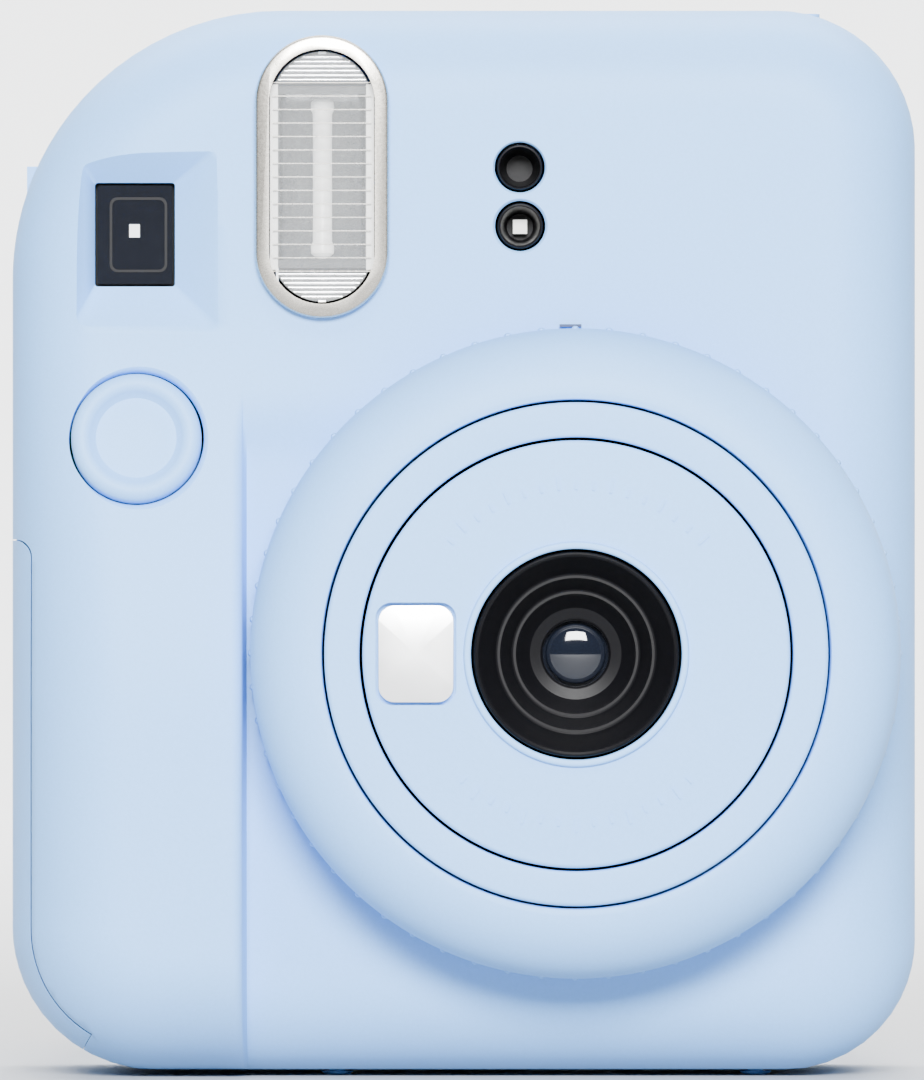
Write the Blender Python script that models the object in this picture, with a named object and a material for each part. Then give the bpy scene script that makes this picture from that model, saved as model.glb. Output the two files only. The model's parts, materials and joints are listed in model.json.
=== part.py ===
"""Instant camera with a twist-out lens, built as separate moving pieces.

Lengths in this script are millimetres; put_solid turns them into metres. The camera
stands on its feet at Z = 0, faces -Y, and X = 0 is the middle of its width.
"""

import math

import bmesh
import bpy
from mathutils import Vector

MM = 0.001
GAP = 0.3
WALL = 1.8

# Outline of the body seen from the front
LEFT, RIGHT = -52.0, 52.0
BOTTOM, TOP = 0.7, 122.7
TOP_LEFT_RADIUS = 31.0
TOP_RIGHT_RADIUS = 16.0
BOTTOM_LEFT_RADIUS = 16.5
BOTTOM_RIGHT_RADIUS = 15.0

# Depths along Y: front is negative
FACE_Y = -15.0
PARTING_Y = 9.0
BACK_Y = 31.2
FRONT_ROLL_REACH, FRONT_ROLL_DEPTH = 10.0, 11.0
BACK_ROLL_REACH, BACK_ROLL_DEPTH = 9.0, 9.0
CROWN, CROWN_REACH = 0.8, 26.0

# Hand grip on the left of the front face
GRIP_RISE = 6.5
GRIP_EDGE_X = -25.2
GRIP_TOP_Z, GRIP_FULL_Z = 90.0, 40.0
GRIP_EDGE_FADE_LOW, GRIP_EDGE_FADE_HIGH = 71.0, 79.0
GRIP_SIDE_FADE = 24.0
GRIP_EXTRA_REACH = 3.0
GRIP_STEP = 0.4

# Lens unit, coaxial about Y
LENS_X, LENS_Z = 12.7, 48.8
RING_RADIUS = 37.0
RING_BORE = 28.75
RING_FRONT_Y = -31.9
RING_SLEEVE_END_Y = -8.0
OUTER_BARREL_RADIUS = 28.45
OUTER_BARREL_BORE = 24.5
OUTER_BARREL_Y = (-32.4, -2.0)
INNER_BARREL_RADIUS = 24.15
INNER_BARREL_Y = (-32.7, -11.0)
HOOD_RADIUS = 11.6
LIP_RADIUS = 12.7
LENS_FRONT_Y = -33.3

RING_SLEEVE_RADIUS = 30.1
PEDESTAL_RADIUS = 36.2
PEDESTAL_Y = -16.2

BLADE_PIVOT = (11.0, 9.0)

# Mirror on the lens face
MIRROR_X, MIRROR_Z = -5.4, 48.85
MIRROR_SIZE = (8.5, 11.0)
MIRROR_CORNER = 1.8

# Flash
FLASH_X, FLASH_Z = -16.2, 103.2
FLASH_SIZE = (15.3, 32.3)
FLASH_RIM = 1.6
FLASH_FRONT_Y = -16.7
FLASH_SEAT_Y = -15.15
FLASH_NECK = (13.0, 30.0)
REFLECTOR_SIZE = (10.8, 20.8)

# Viewfinder
FINDER_X, FINDER_Z = -37.7, 96.7
FINDER_WINDOW = (8.6, 11.3)
FINDER_MOUTH = (-44.9, -27.6, 85.2, 106.6)
FINDER_FLOOR_Y = -10.6
EYEPIECE_Y = 33.3

# Light sensors
SENSOR_RADIUS = 2.6
SENSOR_HOLE = 2.88
SENSOR_PLACES = {"light_sensor_cup_upper": (6.4, 104.3), "light_sensor_cup_lower": (6.45, 97.6)}

# Shutter button
BUTTON_X, BUTTON_Z = -37.4, 73.4
BUTTON_RADIUS = 7.43
BUTTON_TILT = math.radians(9.0)

# Film chamber, gate and door
CHAMBER_X = (-18.3, 43.7)
CHAMBER_Z = (7.5, 101.0)
CHAMBER_Y = (13.5, 26.2)
IMAGE_SIZE = (46.0, 62.0)
DOOR_X = -22.0
DOOR_Z = (6.0, 105.0)
DOOR_Y = 27.0
DOOR_HINGE = (50.2, 27.1)

# Battery compartment
SEAM_INSET = 2.5
BATTERY_DOOR_TOP = 61.7
BATTERY_DOOR_END_X = -42.6
BATTERY_HINGE = (-50.8, 7.9)
CELL_RADIUS, CELL_LENGTH = 7.25, 50.5
CELL_X, CELL_BOTTOM_Z = -36.8, 9.9
CELL_PLACES_Y = {"battery_front": -6.6, "battery_rear": 9.2}

# Film transport
NIP_Y, ROLLER_Z = 14.5, 107.6
ROLLER_RADIUS = 3.15
ROLLER_GAP = 0.3
ROLLER_X = (-13.8, 39.2)
GEAR_X = (43.3, 46.0)
GEAR_TEETH = {"roller": 16, "idler": 26, "pinion": 10}
EXIT_SIZE, EXIT_SLOT = (57.6, 5.6), (54.8, 2.0)
BRACKET_X = {"roller_bracket_left": (-17.2, -15.4), "roller_bracket_right": (40.6, 42.4)}

# Pick that pushes each sheet of film into the rollers
PICK_X = (-17.2, -13.4)

# Counter, pack window and door latch, as seen from behind
COUNTER_PLACE = (-37.0, 34.0)
COUNTER_DIAL = (-37.0, 28.5)
PACK_WINDOW = (8.0, 52.0)
SPRING_BOWS = (76.0, 28.0)
LATCH_X, LATCH_Z = -17.0, 60.0

# Feet and strap lugs
FOOT_X, FOOT_Y = (-14.6, 33.7), (0.0, 18.0)
FOOT_RADIUS, FOOT_STEM = 1.9, 0.9
LUG_X = {"left": (-50.4, -46.4), "right": (47.6, 51.7)}
LUG_LOW, LUG_HIGH = (-1.4, 95.4), (4.0, 104.8)
LUG_HOLE_LOW = (LUG_LOW[0] - GAP, LUG_LOW[1] - GAP)
LUG_HOLE_HIGH = (LUG_HIGH[0] + GAP, LUG_HIGH[1] + GAP)

# Fineness
ROUND = 48
SMALL_ROUND = 28
KNUCKLE_RADIUS = 1.2
PIN_RADIUS = 0.45

# Colour, roughness and metallic value of each finish
FINISHES = {
    "blue": ((0.60, 0.74, 0.88), 0.42, 0.0),
    "black": ((0.02, 0.02, 0.022), 0.45, 0.0),
    "dark_grey": ((0.12, 0.12, 0.13), 0.5, 0.0),
    "white": ((0.85, 0.85, 0.83), 0.4, 0.0),
    "nickel": ((0.72, 0.69, 0.63), 0.28, 1.0),
    "chrome": ((0.86, 0.87, 0.88), 0.06, 1.0),
    "steel": ((0.55, 0.56, 0.58), 0.3, 1.0),
    "glass": ((0.9, 0.95, 0.97), 0.04, 0.0),
    "board_green": ((0.04, 0.22, 0.1), 0.5, 0.0),
    "cell_wrap": ((0.25, 0.27, 0.3), 0.35, 0.3),
}


# ---------------------------------------------------------------- building tools

def clear_scene():
    for obj in list(bpy.data.objects):
        bpy.data.objects.remove(obj)


def make_material(name, finish):
    colour, roughness, metallic = FINISHES[finish]
    material = bpy.data.materials.new(name)
    material.use_nodes = True
    shader = material.node_tree.nodes["Principled BSDF"]
    shader.inputs["Base Color"].default_value = (*colour, 1.0)
    shader.inputs["Roughness"].default_value = roughness
    shader.inputs["Metallic"].default_value = metallic
    return material


def make_mesh(name, shape, origin):
    """Mesh in metres about its origin, from (points, faces) in millimetres, facing out."""
    points, faces = shape
    centre = Vector(origin)
    mesh = bpy.data.meshes.new(name)
    mesh.from_pydata([(Vector(point) - centre) * MM for point in points], [], faces)
    work = bmesh.new()
    work.from_mesh(mesh)
    bmesh.ops.remove_doubles(work, verts=work.verts, dist=1e-7)
    bmesh.ops.recalc_face_normals(work, faces=work.faces)
    work.to_mesh(mesh)
    work.free()
    mesh.shade_smooth()
    mesh.set_sharp_from_angle(angle=math.radians(32))
    return mesh


def put_solid(name, shape, finish, origin=(0.0, 0.0, 0.0)):
    obj = bpy.data.objects.new(name, make_mesh(name, shape, origin))
    obj.location = Vector(origin) * MM
    obj.data.materials.append(make_material(name, finish))
    bpy.context.scene.collection.objects.link(obj)
    return obj


def put_cutter(name, shape):
    obj = bpy.data.objects.new(name, make_mesh(name, shape, (0.0, 0.0, 0.0)))
    bpy.context.scene.collection.objects.link(obj)
    obj.hide_render = True
    obj.display_type = "WIRE"
    return obj


def combine(target, other, operation):
    modifier = target.modifiers.new(other.name, "BOOLEAN")
    modifier.object = other
    modifier.operation = operation


def cut(target, name, shape):
    combine(target, put_cutter(name, shape), "DIFFERENCE")


def fuse(target, name, shape):
    combine(target, put_cutter(name, shape), "UNION")


def loft(loops):
    """Closed solid through loops of equal length, with a flat face at each end."""
    count = len(loops[0])
    points = [point for loop in loops for point in loop]
    faces = []
    for row in range(len(loops) - 1):
        for i in range(count):
            j = (i + 1) % count
            below, above = row * count, (row + 1) * count
            faces.append((below + i, below + j, above + j, above + i))
    faces.append(tuple(range(count)))
    faces.append(tuple(range(len(points) - count, len(points))))
    return points, faces


def along(axis, across, height):
    """A point from its place across an axis and its height along it."""
    a, b = across
    return {"X": (height, a, b), "Y": (a, height, b), "Z": (a, b, height)}[axis]


def prism(outline, axis, start, end):
    return loft([[along(axis, point, height) for point in outline] for height in (start, end)])


def box(low, high):
    corners = [(low[0], low[1]), (high[0], low[1]), (high[0], high[1]), (low[0], high[1])]
    return prism(corners, "Z", low[2], high[2])


def circle(centre, radius, count):
    turn = 2 * math.pi / count
    return [
        (centre[0] + radius * math.cos(i * turn), centre[1] + radius * math.sin(i * turn))
        for i in range(count)
    ]


def cylinder(axis, centre, radius, start, end, count=SMALL_ROUND):
    return prism(circle(centre, radius, count), axis, start, end)


def turned(profile, axis, centre, count=ROUND):
    """Solid swept by a closed profile of (radius, height) corners about an axis."""
    points = []
    for radius, height in profile:
        points += [along(axis, point, height) for point in circle(centre, radius, count)]
    faces = []
    for k in range(len(profile)):
        following = (k + 1) % len(profile)
        if profile[k][0] == 0.0 and profile[following][0] == 0.0:
            continue
        for i in range(count):
            j = (i + 1) % count
            faces.append((k * count + i, k * count + j, following * count + j, following * count + i))
    return points, faces


def arc(centre, radius, start, end, steps):
    """Points on a circle's arc, from one angle in degrees to another."""
    angles = [math.radians(start + (end - start) * i / steps) for i in range(steps + 1)]
    return [(centre[0] + radius * math.cos(a), centre[1] + radius * math.sin(a)) for a in angles]


def rounded_rectangle(centre, size, radius, steps=4):
    half_w, half_h = size[0] / 2 - radius, size[1] / 2 - radius
    outline = []
    for quarter, (sx, sy) in enumerate(((1, 1), (-1, 1), (-1, -1), (1, -1))):
        corner = (centre[0] + sx * half_w, centre[1] + sy * half_h)
        outline += arc(corner, radius, 90 * quarter, 90 * quarter + 90, steps)
    return outline


def stadium(centre, size, steps=14):
    return rounded_rectangle(centre, size, size[0] / 2 - 0.01, steps)


def linked_circles(first, first_radius, second, second_radius, steps=10):
    """Outline of a band stretched round two circles."""
    dx, dy = second[0] - first[0], second[1] - first[1]
    ahead = math.degrees(math.atan2(dy, dx))
    lean = math.degrees(math.acos((first_radius - second_radius) / math.hypot(dx, dy)))
    outline = arc(first, first_radius, ahead + lean, ahead + 360 - lean, steps)
    return outline + arc(second, second_radius, ahead - lean, ahead + lean, steps)


def smooth(t):
    t = min(max(t, 0.0), 1.0)
    return t * t * (3 - 2 * t)


def eased(start, end, count):
    """Places from start towards end, closest together at start; end is left out."""
    return [start + (end - start) * (1 - math.cos(math.pi / 2 * i / count)) for i in range(count)]


# ---------------------------------------------------------------- body surface

CORNERS = (
    (LEFT + TOP_LEFT_RADIUS, TOP - TOP_LEFT_RADIUS, TOP_LEFT_RADIUS, -1, 1),
    (RIGHT - TOP_RIGHT_RADIUS, TOP - TOP_RIGHT_RADIUS, TOP_RIGHT_RADIUS, 1, 1),
    (LEFT + BOTTOM_LEFT_RADIUS, BOTTOM + BOTTOM_LEFT_RADIUS, BOTTOM_LEFT_RADIUS, -1, -1),
    (RIGHT - BOTTOM_RIGHT_RADIUS, BOTTOM + BOTTOM_RIGHT_RADIUS, BOTTOM_RIGHT_RADIUS, 1, -1),
)


def edge_distance(x, z):
    """How far a point lies inside the body's outline, seen from the front."""
    for centre_x, centre_z, radius, side_x, side_z in CORNERS:
        if (x - centre_x) * side_x > 0 and (z - centre_z) * side_z > 0:
            return radius - math.hypot(x - centre_x, z - centre_z)
    return min(x - LEFT, RIGHT - x, z - BOTTOM, TOP - z)


def side_x(z, side, inset):
    """The outline's X at a height, on the left (side -1) or the right (side 1)."""
    for centre_x, centre_z, radius, corner_side, side_z in CORNERS:
        if corner_side == side and (z - centre_z) * side_z > 0:
            reach = max((radius - inset) ** 2 - (z - centre_z) ** 2, 0.0)
            return centre_x + side * math.sqrt(reach)
    return (RIGHT if side > 0 else LEFT) - side * inset


def grip_rise(x, z):
    rise = GRIP_RISE * smooth((GRIP_TOP_Z - z) / (GRIP_TOP_Z - GRIP_FULL_Z))
    if x <= GRIP_EDGE_X:
        return rise
    above_edge = smooth((z - GRIP_EDGE_FADE_LOW) / (GRIP_EDGE_FADE_HIGH - GRIP_EDGE_FADE_LOW))
    return rise * above_edge * smooth(1 - (x - GRIP_EDGE_X) / GRIP_SIDE_FADE)


def rolled_edge(distance, reach, depth):
    """How far the surface falls back at this distance inside the outline."""
    roll = max(0.0, 1 - distance / reach)
    crown = max(0.0, 1 - distance / CROWN_REACH)
    return depth * (1 - math.sqrt(max(0.0, 1 - roll * roll))) + CROWN * crown * crown


def front_y(x, z, inset):
    distance = max(edge_distance(x, z) - inset, 0.0)
    rise = grip_rise(x + inset, z)
    reach = FRONT_ROLL_REACH - inset + GRIP_EXTRA_REACH * rise / GRIP_RISE
    return FACE_Y + inset - rise + rolled_edge(distance, reach, FRONT_ROLL_DEPTH - inset + rise)


def back_y(x, z, inset):
    distance = max(edge_distance(x, z) - inset, 0.0)
    return BACK_Y - inset - rolled_edge(distance, BACK_ROLL_REACH - inset, BACK_ROLL_DEPTH - inset)


def body_rows(inset, ends, middle):
    """Heights of the body's sections, closest together where the outline curves."""
    low, high = BOTTOM + inset, TOP - inset
    low_bend, high_bend = BOTTOM + BOTTOM_LEFT_RADIUS, TOP - TOP_LEFT_RADIUS
    span = high_bend - low_bend
    rows = eased(low, low_bend, ends)
    rows += [low_bend + span * i / middle for i in range(middle)]
    return rows + [high_bend] + eased(high, high_bend, ends)[::-1]


def body_columns(z, inset, left_count, right_count):
    """Places across the body at a height, with a close pair at the grip's edge."""
    left, right = side_x(z, -1, inset), side_x(z, 1, inset)
    edge = max(GRIP_EDGE_X - inset, left + GRIP_STEP)
    columns = eased(left, edge, left_count) + [edge]
    beyond = edge + GRIP_STEP
    return columns + [beyond] + eased(right, beyond, right_count)[::-1]


def half_body(surface, joint_y, inset, fineness):
    """Solid from a front or back surface to the plane where the halves meet."""
    ends, middle, left_count, right_count = fineness
    loops = []
    for z in body_rows(inset, ends, middle):
        columns = body_columns(z, inset, left_count, right_count)
        loop = [(columns[0], joint_y, z)]
        loop += [(x, surface(x, z, inset), z) for x in columns]
        loops.append(loop + [(columns[-1], joint_y, z)])
    return loft(loops)


FINE, COARSE = (6, 6, 7, 9), (4, 4, 5, 6)


def front_solid():
    return half_body(front_y, PARTING_Y - GAP / 2, 0.0, FINE)


def front_hollow(name):
    """The space inside the front half, less the block around the viewfinder recess."""
    hollow = put_cutter(name, half_body(front_y, PARTING_Y + WALL, WALL, COARSE))
    left, right, low, high = FINDER_MOUTH
    block = box((left - 2.6, -17.0, low - 0.8), (right + WALL, -9.0, high + WALL))
    cut(hollow, name + "_finder_block", block)
    return hollow


def back_solid():
    return half_body(back_y, PARTING_Y + GAP / 2, 0.0, FINE)


def back_hollow(name):
    return put_cutter(name, half_body(back_y, PARTING_Y - WALL, WALL, COARSE))


# ---------------------------------------------------------------- hinges in the walls

def knuckle(centre, toward, reach, radius=KNUCKLE_RADIUS):
    """Outline of a hinge knuckle in XY: a barrel with a web running towards a wall."""
    angle = math.degrees(math.atan2(toward[1], toward[0]))
    outline = arc(centre, radius, angle + 90, angle + 270, 10)
    side = Vector((-toward[1], toward[0])).normalized() * 0.55
    ahead = Vector(toward).normalized() * reach
    outline += [(centre[0] + ahead.x - side.x, centre[1] + ahead.y - side.y)]
    return outline + [(centre[0] + ahead.x + side.x, centre[1] + ahead.y + side.y)]


def hinge_relief(target, name, centre, low, high, clearance=GAP):
    cut(target, name, cylinder("Z", centre, KNUCKLE_RADIUS + clearance, low, high))


def hinge_knuckles(target, name, centre, toward, reach, spans):
    for number, (low, high) in enumerate(spans):
        fuse(target, f"{name}_{number}", prism(knuckle(centre, toward, reach), "Z", low, high))
    bore = cylinder("Z", centre, PIN_RADIUS + GAP, spans[0][0] - 1.0, spans[-1][1] + 1.0)
    cut(target, name + "_bore", bore)


def hinge_pin(name, centre, low, high):
    put_solid(name, cylinder("Z", centre, PIN_RADIUS, low, high, 16), "steel", (*centre, low))


FILM_DOOR_KNUCKLES = {"cover": ((22.0, 30.0), (80.0, 88.0)), "door": ((30.4, 79.6),)}
BATTERY_KNUCKLES = {"cover": ((22.0, 27.0), (52.0, 57.0)), "door": ((27.4, 51.6),)}


# ---------------------------------------------------------------- casings

def battery_seam(margin):
    """Prism around the battery door: the band outside the seam, grown by a margin."""
    inset = SEAM_INSET + margin
    top = BATTERY_DOOR_TOP + margin
    corner_x, corner_z, radius = CORNERS[2][:3]
    end_angle = math.degrees(math.acos((BATTERY_DOOR_END_X + margin - corner_x) / (radius - inset)))
    inner = arc((corner_x, corner_z), radius - inset, 180, 360 - end_angle, 8)
    bend = 2.0
    outline = [(LEFT - 3, top), (LEFT + inset - bend, top)]
    outline += arc((LEFT + inset - bend, top - bend), bend, 80, 0, 5)
    outline += inner
    outer = arc((corner_x, corner_z), radius + 3, 360 - end_angle, 180, 8)
    return prism(outline + outer, "Y", -40.0, PARTING_Y + 5.0)


def front_cover():
    cover = put_solid("front_cover", front_solid(), "blue")
    lens = (LENS_X, LENS_Z)
    flash = (FLASH_X, FLASH_Z)
    fuse(cover, "lens_pedestal", cylinder("Y", lens, PEDESTAL_RADIUS, PEDESTAL_Y, -6.0, ROUND))
    flash_seat = stadium(flash, (FLASH_SIZE[0] - GAP, FLASH_SIZE[1] - GAP), 8)
    fuse(cover, "flash_pedestal", prism(flash_seat, "Y", FLASH_SEAT_Y, -9.0))
    combine(cover, front_hollow("front_cover_hollow"), "DIFFERENCE")
    cut(cover, "lens_opening", cylinder("Y", lens, RING_SLEEVE_RADIUS + GAP, -22.0, -9.0, ROUND))
    opening = (FLASH_NECK[0] + 2 * GAP, FLASH_NECK[1] + 2 * GAP)
    cut(cover, "flash_opening", prism(stadium(flash, opening, 8), "Y", -22.0, -5.0))
    left, right, low, high = FINDER_MOUTH
    mouth = [(left, low), (right, low), (right, high), (left, high)]
    half_w, half_h = FINDER_WINDOW[0] / 2 + GAP, FINDER_WINDOW[1] / 2 + GAP
    floor = [(FINDER_X - half_w, FINDER_Z - half_h), (FINDER_X + half_w, FINDER_Z - half_h)]
    floor += [(FINDER_X + half_w, FINDER_Z + half_h), (FINDER_X - half_w, FINDER_Z + half_h)]
    levels = ((mouth, FACE_Y - 0.5), (floor, FINDER_FLOOR_Y), (floor, -6.0))
    cut(cover, "finder_recess", loft([[along("Y", point, y) for point in outline] for outline, y in levels]))
    for name, place in SENSOR_PLACES.items():
        cut(cover, name + "_hole", cylinder("Y", place, SENSOR_HOLE, -20.0, -9.0))
    cut(cover, "button_hole", button_axis_prism(BUTTON_RADIUS + GAP, -8.0, 8.0))
    cut(cover, "battery_seam_outer", battery_seam(GAP / 2))
    for side, (start, end) in LUG_X.items():
        cut(cover, f"lug_hole_{side}", box((start - 3, *LUG_HOLE_LOW), (end + 3, *LUG_HOLE_HIGH)))
    for x in FOOT_X:
        cut(cover, f"front_foot_hole_{x}", cylinder("Z", (x, FOOT_Y[0]), FOOT_STEM + GAP, -1.0, 4.0, 16))


def battery_door():
    origin = (*BATTERY_HINGE, BOTTOM)
    door = put_solid("battery_door", front_solid(), "blue", origin)
    combine(door, front_hollow("battery_door_hollow"), "DIFFERENCE")
    combine(door, put_cutter("battery_seam_inner", battery_seam(-GAP / 2)), "INTERSECT")
    hinge_relief(door, "battery_door_relief", BATTERY_HINGE, BOTTOM - 2, 70.0, 2 * GAP)
    knuckles = BATTERY_KNUCKLES["door"]
    hinge_knuckles(door, "battery_door_knuckle", BATTERY_HINGE, (0.0, -1.0), 3.6, knuckles)


def door_panel(margin):
    centre = ((DOOR_X + 70.0) / 2, (DOOR_Z[0] + DOOR_Z[1]) / 2)
    size = (70.0 - DOOR_X + 2 * margin, DOOR_Z[1] - DOOR_Z[0] + 2 * margin)
    return prism(rounded_rectangle(centre, size, 4.0 + margin), "Y", DOOR_Y - margin, BACK_Y + 5.0)


def rear_cover():
    cover = put_solid("rear_cover", back_solid(), "blue")
    combine(cover, back_hollow("rear_cover_hollow"), "DIFFERENCE")
    cut(cover, "door_opening", door_panel(GAP / 2))
    eyepiece = rounded_rectangle((FINDER_X, FINDER_Z), (13.0 + 2 * GAP, 15.6 + 2 * GAP), 2.6)
    cut(cover, "eyepiece_hole", prism(eyepiece, "Y", 24.0, BACK_Y + 4.0))
    slot = rounded_rectangle((LENS_X, NIP_Y), [side + 2 * GAP for side in EXIT_SIZE], 1.8)
    cut(cover, "film_slot", prism(slot, "Z", TOP - 6.0, TOP + 2.0))
    cut(cover, "counter_hole", cylinder("Y", COUNTER_PLACE, 3.4 + GAP, 24.0, BACK_Y + 2.0))
    hinge_relief(cover, "film_door_relief", DOOR_HINGE, DOOR_Z[0] - 1, DOOR_Z[1] + 1)
    knuckles = FILM_DOOR_KNUCKLES["cover"]
    hinge_knuckles(cover, "film_door_cover_knuckle", DOOR_HINGE, (-0.1, -1.0), 3.0, knuckles)
    hinge_relief(cover, "battery_hinge_relief", BATTERY_HINGE, 21.0, 58.0)
    knuckles = BATTERY_KNUCKLES["cover"]
    hinge_knuckles(cover, "battery_cover_knuckle", BATTERY_HINGE, (0.0, 1.0), 3.6, knuckles)
    for x in FOOT_X:
        cut(cover, f"rear_foot_hole_{x}", cylinder("Z", (x, FOOT_Y[1]), FOOT_STEM + GAP, -1.0, 4.0, 16))


def film_door():
    origin = (*DOOR_HINGE, DOOR_Z[0])
    door = put_solid("film_door", back_solid(), "blue", origin)
    combine(door, back_hollow("film_door_hollow"), "DIFFERENCE")
    combine(door, put_cutter("door_panel_inner", door_panel(-GAP / 2)), "INTERSECT")
    window = rounded_rectangle(PACK_WINDOW, (5.0 + 2 * GAP, 20.0 + 2 * GAP), 1.5)
    cut(door, "pack_window_hole", prism(window, "Y", 24.0, BACK_Y + 2.0))
    cut(door, "latch_slot", box((LATCH_X - 2.0, 24.0, LATCH_Z - 7.0), (LATCH_X + 2.0, 40.0, LATCH_Z + 5.0)))
    hinge_relief(door, "film_door_cut", DOOR_HINGE, BOTTOM, TOP)
    knuckles = FILM_DOOR_KNUCKLES["door"]
    hinge_knuckles(door, "film_door_knuckle", DOOR_HINGE, (-1.0, 0.75), 2.6, knuckles)


# ---------------------------------------------------------------- lens unit

def lens_piece(name, profile, finish, count=ROUND):
    centre = (LENS_X, LENS_Z)
    return put_solid(name, turned(profile, "Y", centre, count), finish, (LENS_X, profile[0][1], LENS_Z))


def lens_ring():
    roll = RING_RADIUS - 0.1 - 29.3
    roll_centre = (29.3, RING_FRONT_Y + roll)
    outside = [(RING_BORE, RING_FRONT_Y + 0.4), *arc(roll_centre, roll, -90, 0, 7)]
    outside += [(RING_RADIUS, -17.4), (RING_RADIUS - 0.5, PEDESTAL_Y - GAP)]
    inside = [(RING_RADIUS - 2.0, PEDESTAL_Y - GAP), *arc(roll_centre, roll - 2.0, 0, -80, 3)]
    sleeve = [(RING_SLEEVE_RADIUS, -29.0), (RING_SLEEVE_RADIUS, RING_SLEEVE_END_Y)]
    lens_piece("lens_ring", outside + inside + sleeve + [(RING_BORE, RING_SLEEVE_END_Y)], "blue")


def outer_barrel():
    front, rear = OUTER_BARREL_Y
    radius, bore = OUTER_BARREL_RADIUS, OUTER_BARREL_BORE
    profile = [(bore, front + 0.4), (bore + 0.3, front), (radius - 0.4, front), (radius, front + 0.4)]
    profile += [(radius, rear), (radius - 2.0, rear), (radius - 2.0, front + 4.0), (bore, front + 4.0)]
    lens_piece("outer_barrel", profile, "blue")


def inner_barrel():
    front, rear = INNER_BARREL_Y
    radius, bore = INNER_BARREL_RADIUS, HOOD_RADIUS + GAP
    profile = [(bore, front - 0.3), (bore + 0.25, LENS_FRONT_Y), (LIP_RADIUS - 0.4, LENS_FRONT_Y)]
    profile += [(LIP_RADIUS, front), (radius - 0.4, front), (radius, front + 0.4), (radius, rear)]
    profile += [(radius - 1.8, rear), (radius - 1.8, front + 2.0), (bore, front + 2.0)]
    barrel = lens_piece("inner_barrel", profile, "blue")
    seat = rounded_rectangle((MIRROR_X, MIRROR_Z), [side + 2 * GAP for side in MIRROR_SIZE], MIRROR_CORNER)
    cut(barrel, "mirror_seat", prism(seat, "Y", front - 1.0, front + 1.0))
    mirror = rounded_rectangle((MIRROR_X, MIRROR_Z), MIRROR_SIZE, MIRROR_CORNER)
    put_solid("selfie_mirror", prism(mirror, "Y", front - 0.05, front + 0.65), "chrome")


def lens_hood():
    steps = [(11.6, -32.6), (11.3, -32.9), (11.0, -32.6), (9.0, -29.2), (8.5, -29.2), (8.3, -28.6)]
    steps += [(7.2, -26.6), (6.7, -26.6), (6.5, -26.0), (5.2, -24.6), (3.9, -24.2), (3.75, -23.8)]
    lens_piece("lens_hood", steps + [(3.75, -23.0), (5.6, -23.0), (5.6, -20.5), (11.6, -20.5)], "black", 32)
    front = [(0.0, -24.4), (1.2, -24.32), (2.4, -24.05), (3.4, -23.6), (3.4, -22.7), (5.25, -22.7)]
    lens_piece("front_lens_element", front + [(5.25, -21.2), (0.0, -21.2)], "glass", 32)


def shutter_unit():
    lens_piece("shutter_housing", [(4.6, -20.1), (21.5, -20.1), (21.5, -18.6), (4.6, -18.6)], "black", 48)
    lens_piece("shutter_base", [(4.6, -16.5), (21.5, -16.5), (21.5, -15.2), (4.6, -15.2)], "dark_grey", 48)
    rear = [(0.0, -16.3), (4.3, -16.3), (4.3, -14.9), (2.4, -14.2), (0.0, -13.9)]
    lens_piece("rear_lens_element", rear, "glass", 32)
    base = bpy.data.objects["shutter_base"]
    for name, side, start in (("shutter_blade_left", -1, -18.2), ("shutter_blade_right", 1, -17.4)):
        pivot = (LENS_X + side * BLADE_PIVOT[0], LENS_Z + BLADE_PIVOT[1])
        outline = linked_circles(pivot, 2.2, (LENS_X, LENS_Z), 5.3)
        sheet = prism(outline, "Y", start, start + 0.45)
        blade = put_solid(name, sheet, "steel", (pivot[0], start, pivot[1]))
        cut(blade, name + "_bore", cylinder("Y", pivot, 0.7 + GAP, -20.0, -15.0, 16))
        fuse(base, name + "_post", cylinder("Y", pivot, 0.7, -18.35, -16.0, 16))


def lens_mount():
    profile = [(28.95, -7.0), (30.4, -7.0), (30.4, 1.0), (34.0, 1.0), (34.0, 2.2), (23.5, 2.2)]
    lens_piece("lens_mount", profile + [(23.5, 1.0), (28.95, 1.0)], "black")


def tapered_frame(half_front, half_rear, front, rear):
    levels = []
    for (half_w, half_h), y in ((half_front, front), (half_rear, rear)):
        sides = ((-1, -1), (1, -1), (1, 1), (-1, 1))
        levels.append([(LENS_X + sx * half_w, y, LENS_Z + sz * half_h) for sx, sz in sides])
    return loft(levels)


def dark_box():
    case = put_solid("dark_box", tapered_frame((16.4, 16.4), (24.6, 32.6), 2.6, 11.8), "black")
    cut(case, "dark_box_inside", tapered_frame((15.0, 15.0), (24.2, 32.2), 1.2, 13.2))


# ---------------------------------------------------------------- front fittings

def flash_slab(size, start, end):
    return prism(stadium((FLASH_X, FLASH_Z), size, 10), "Y", start, end)


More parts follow.
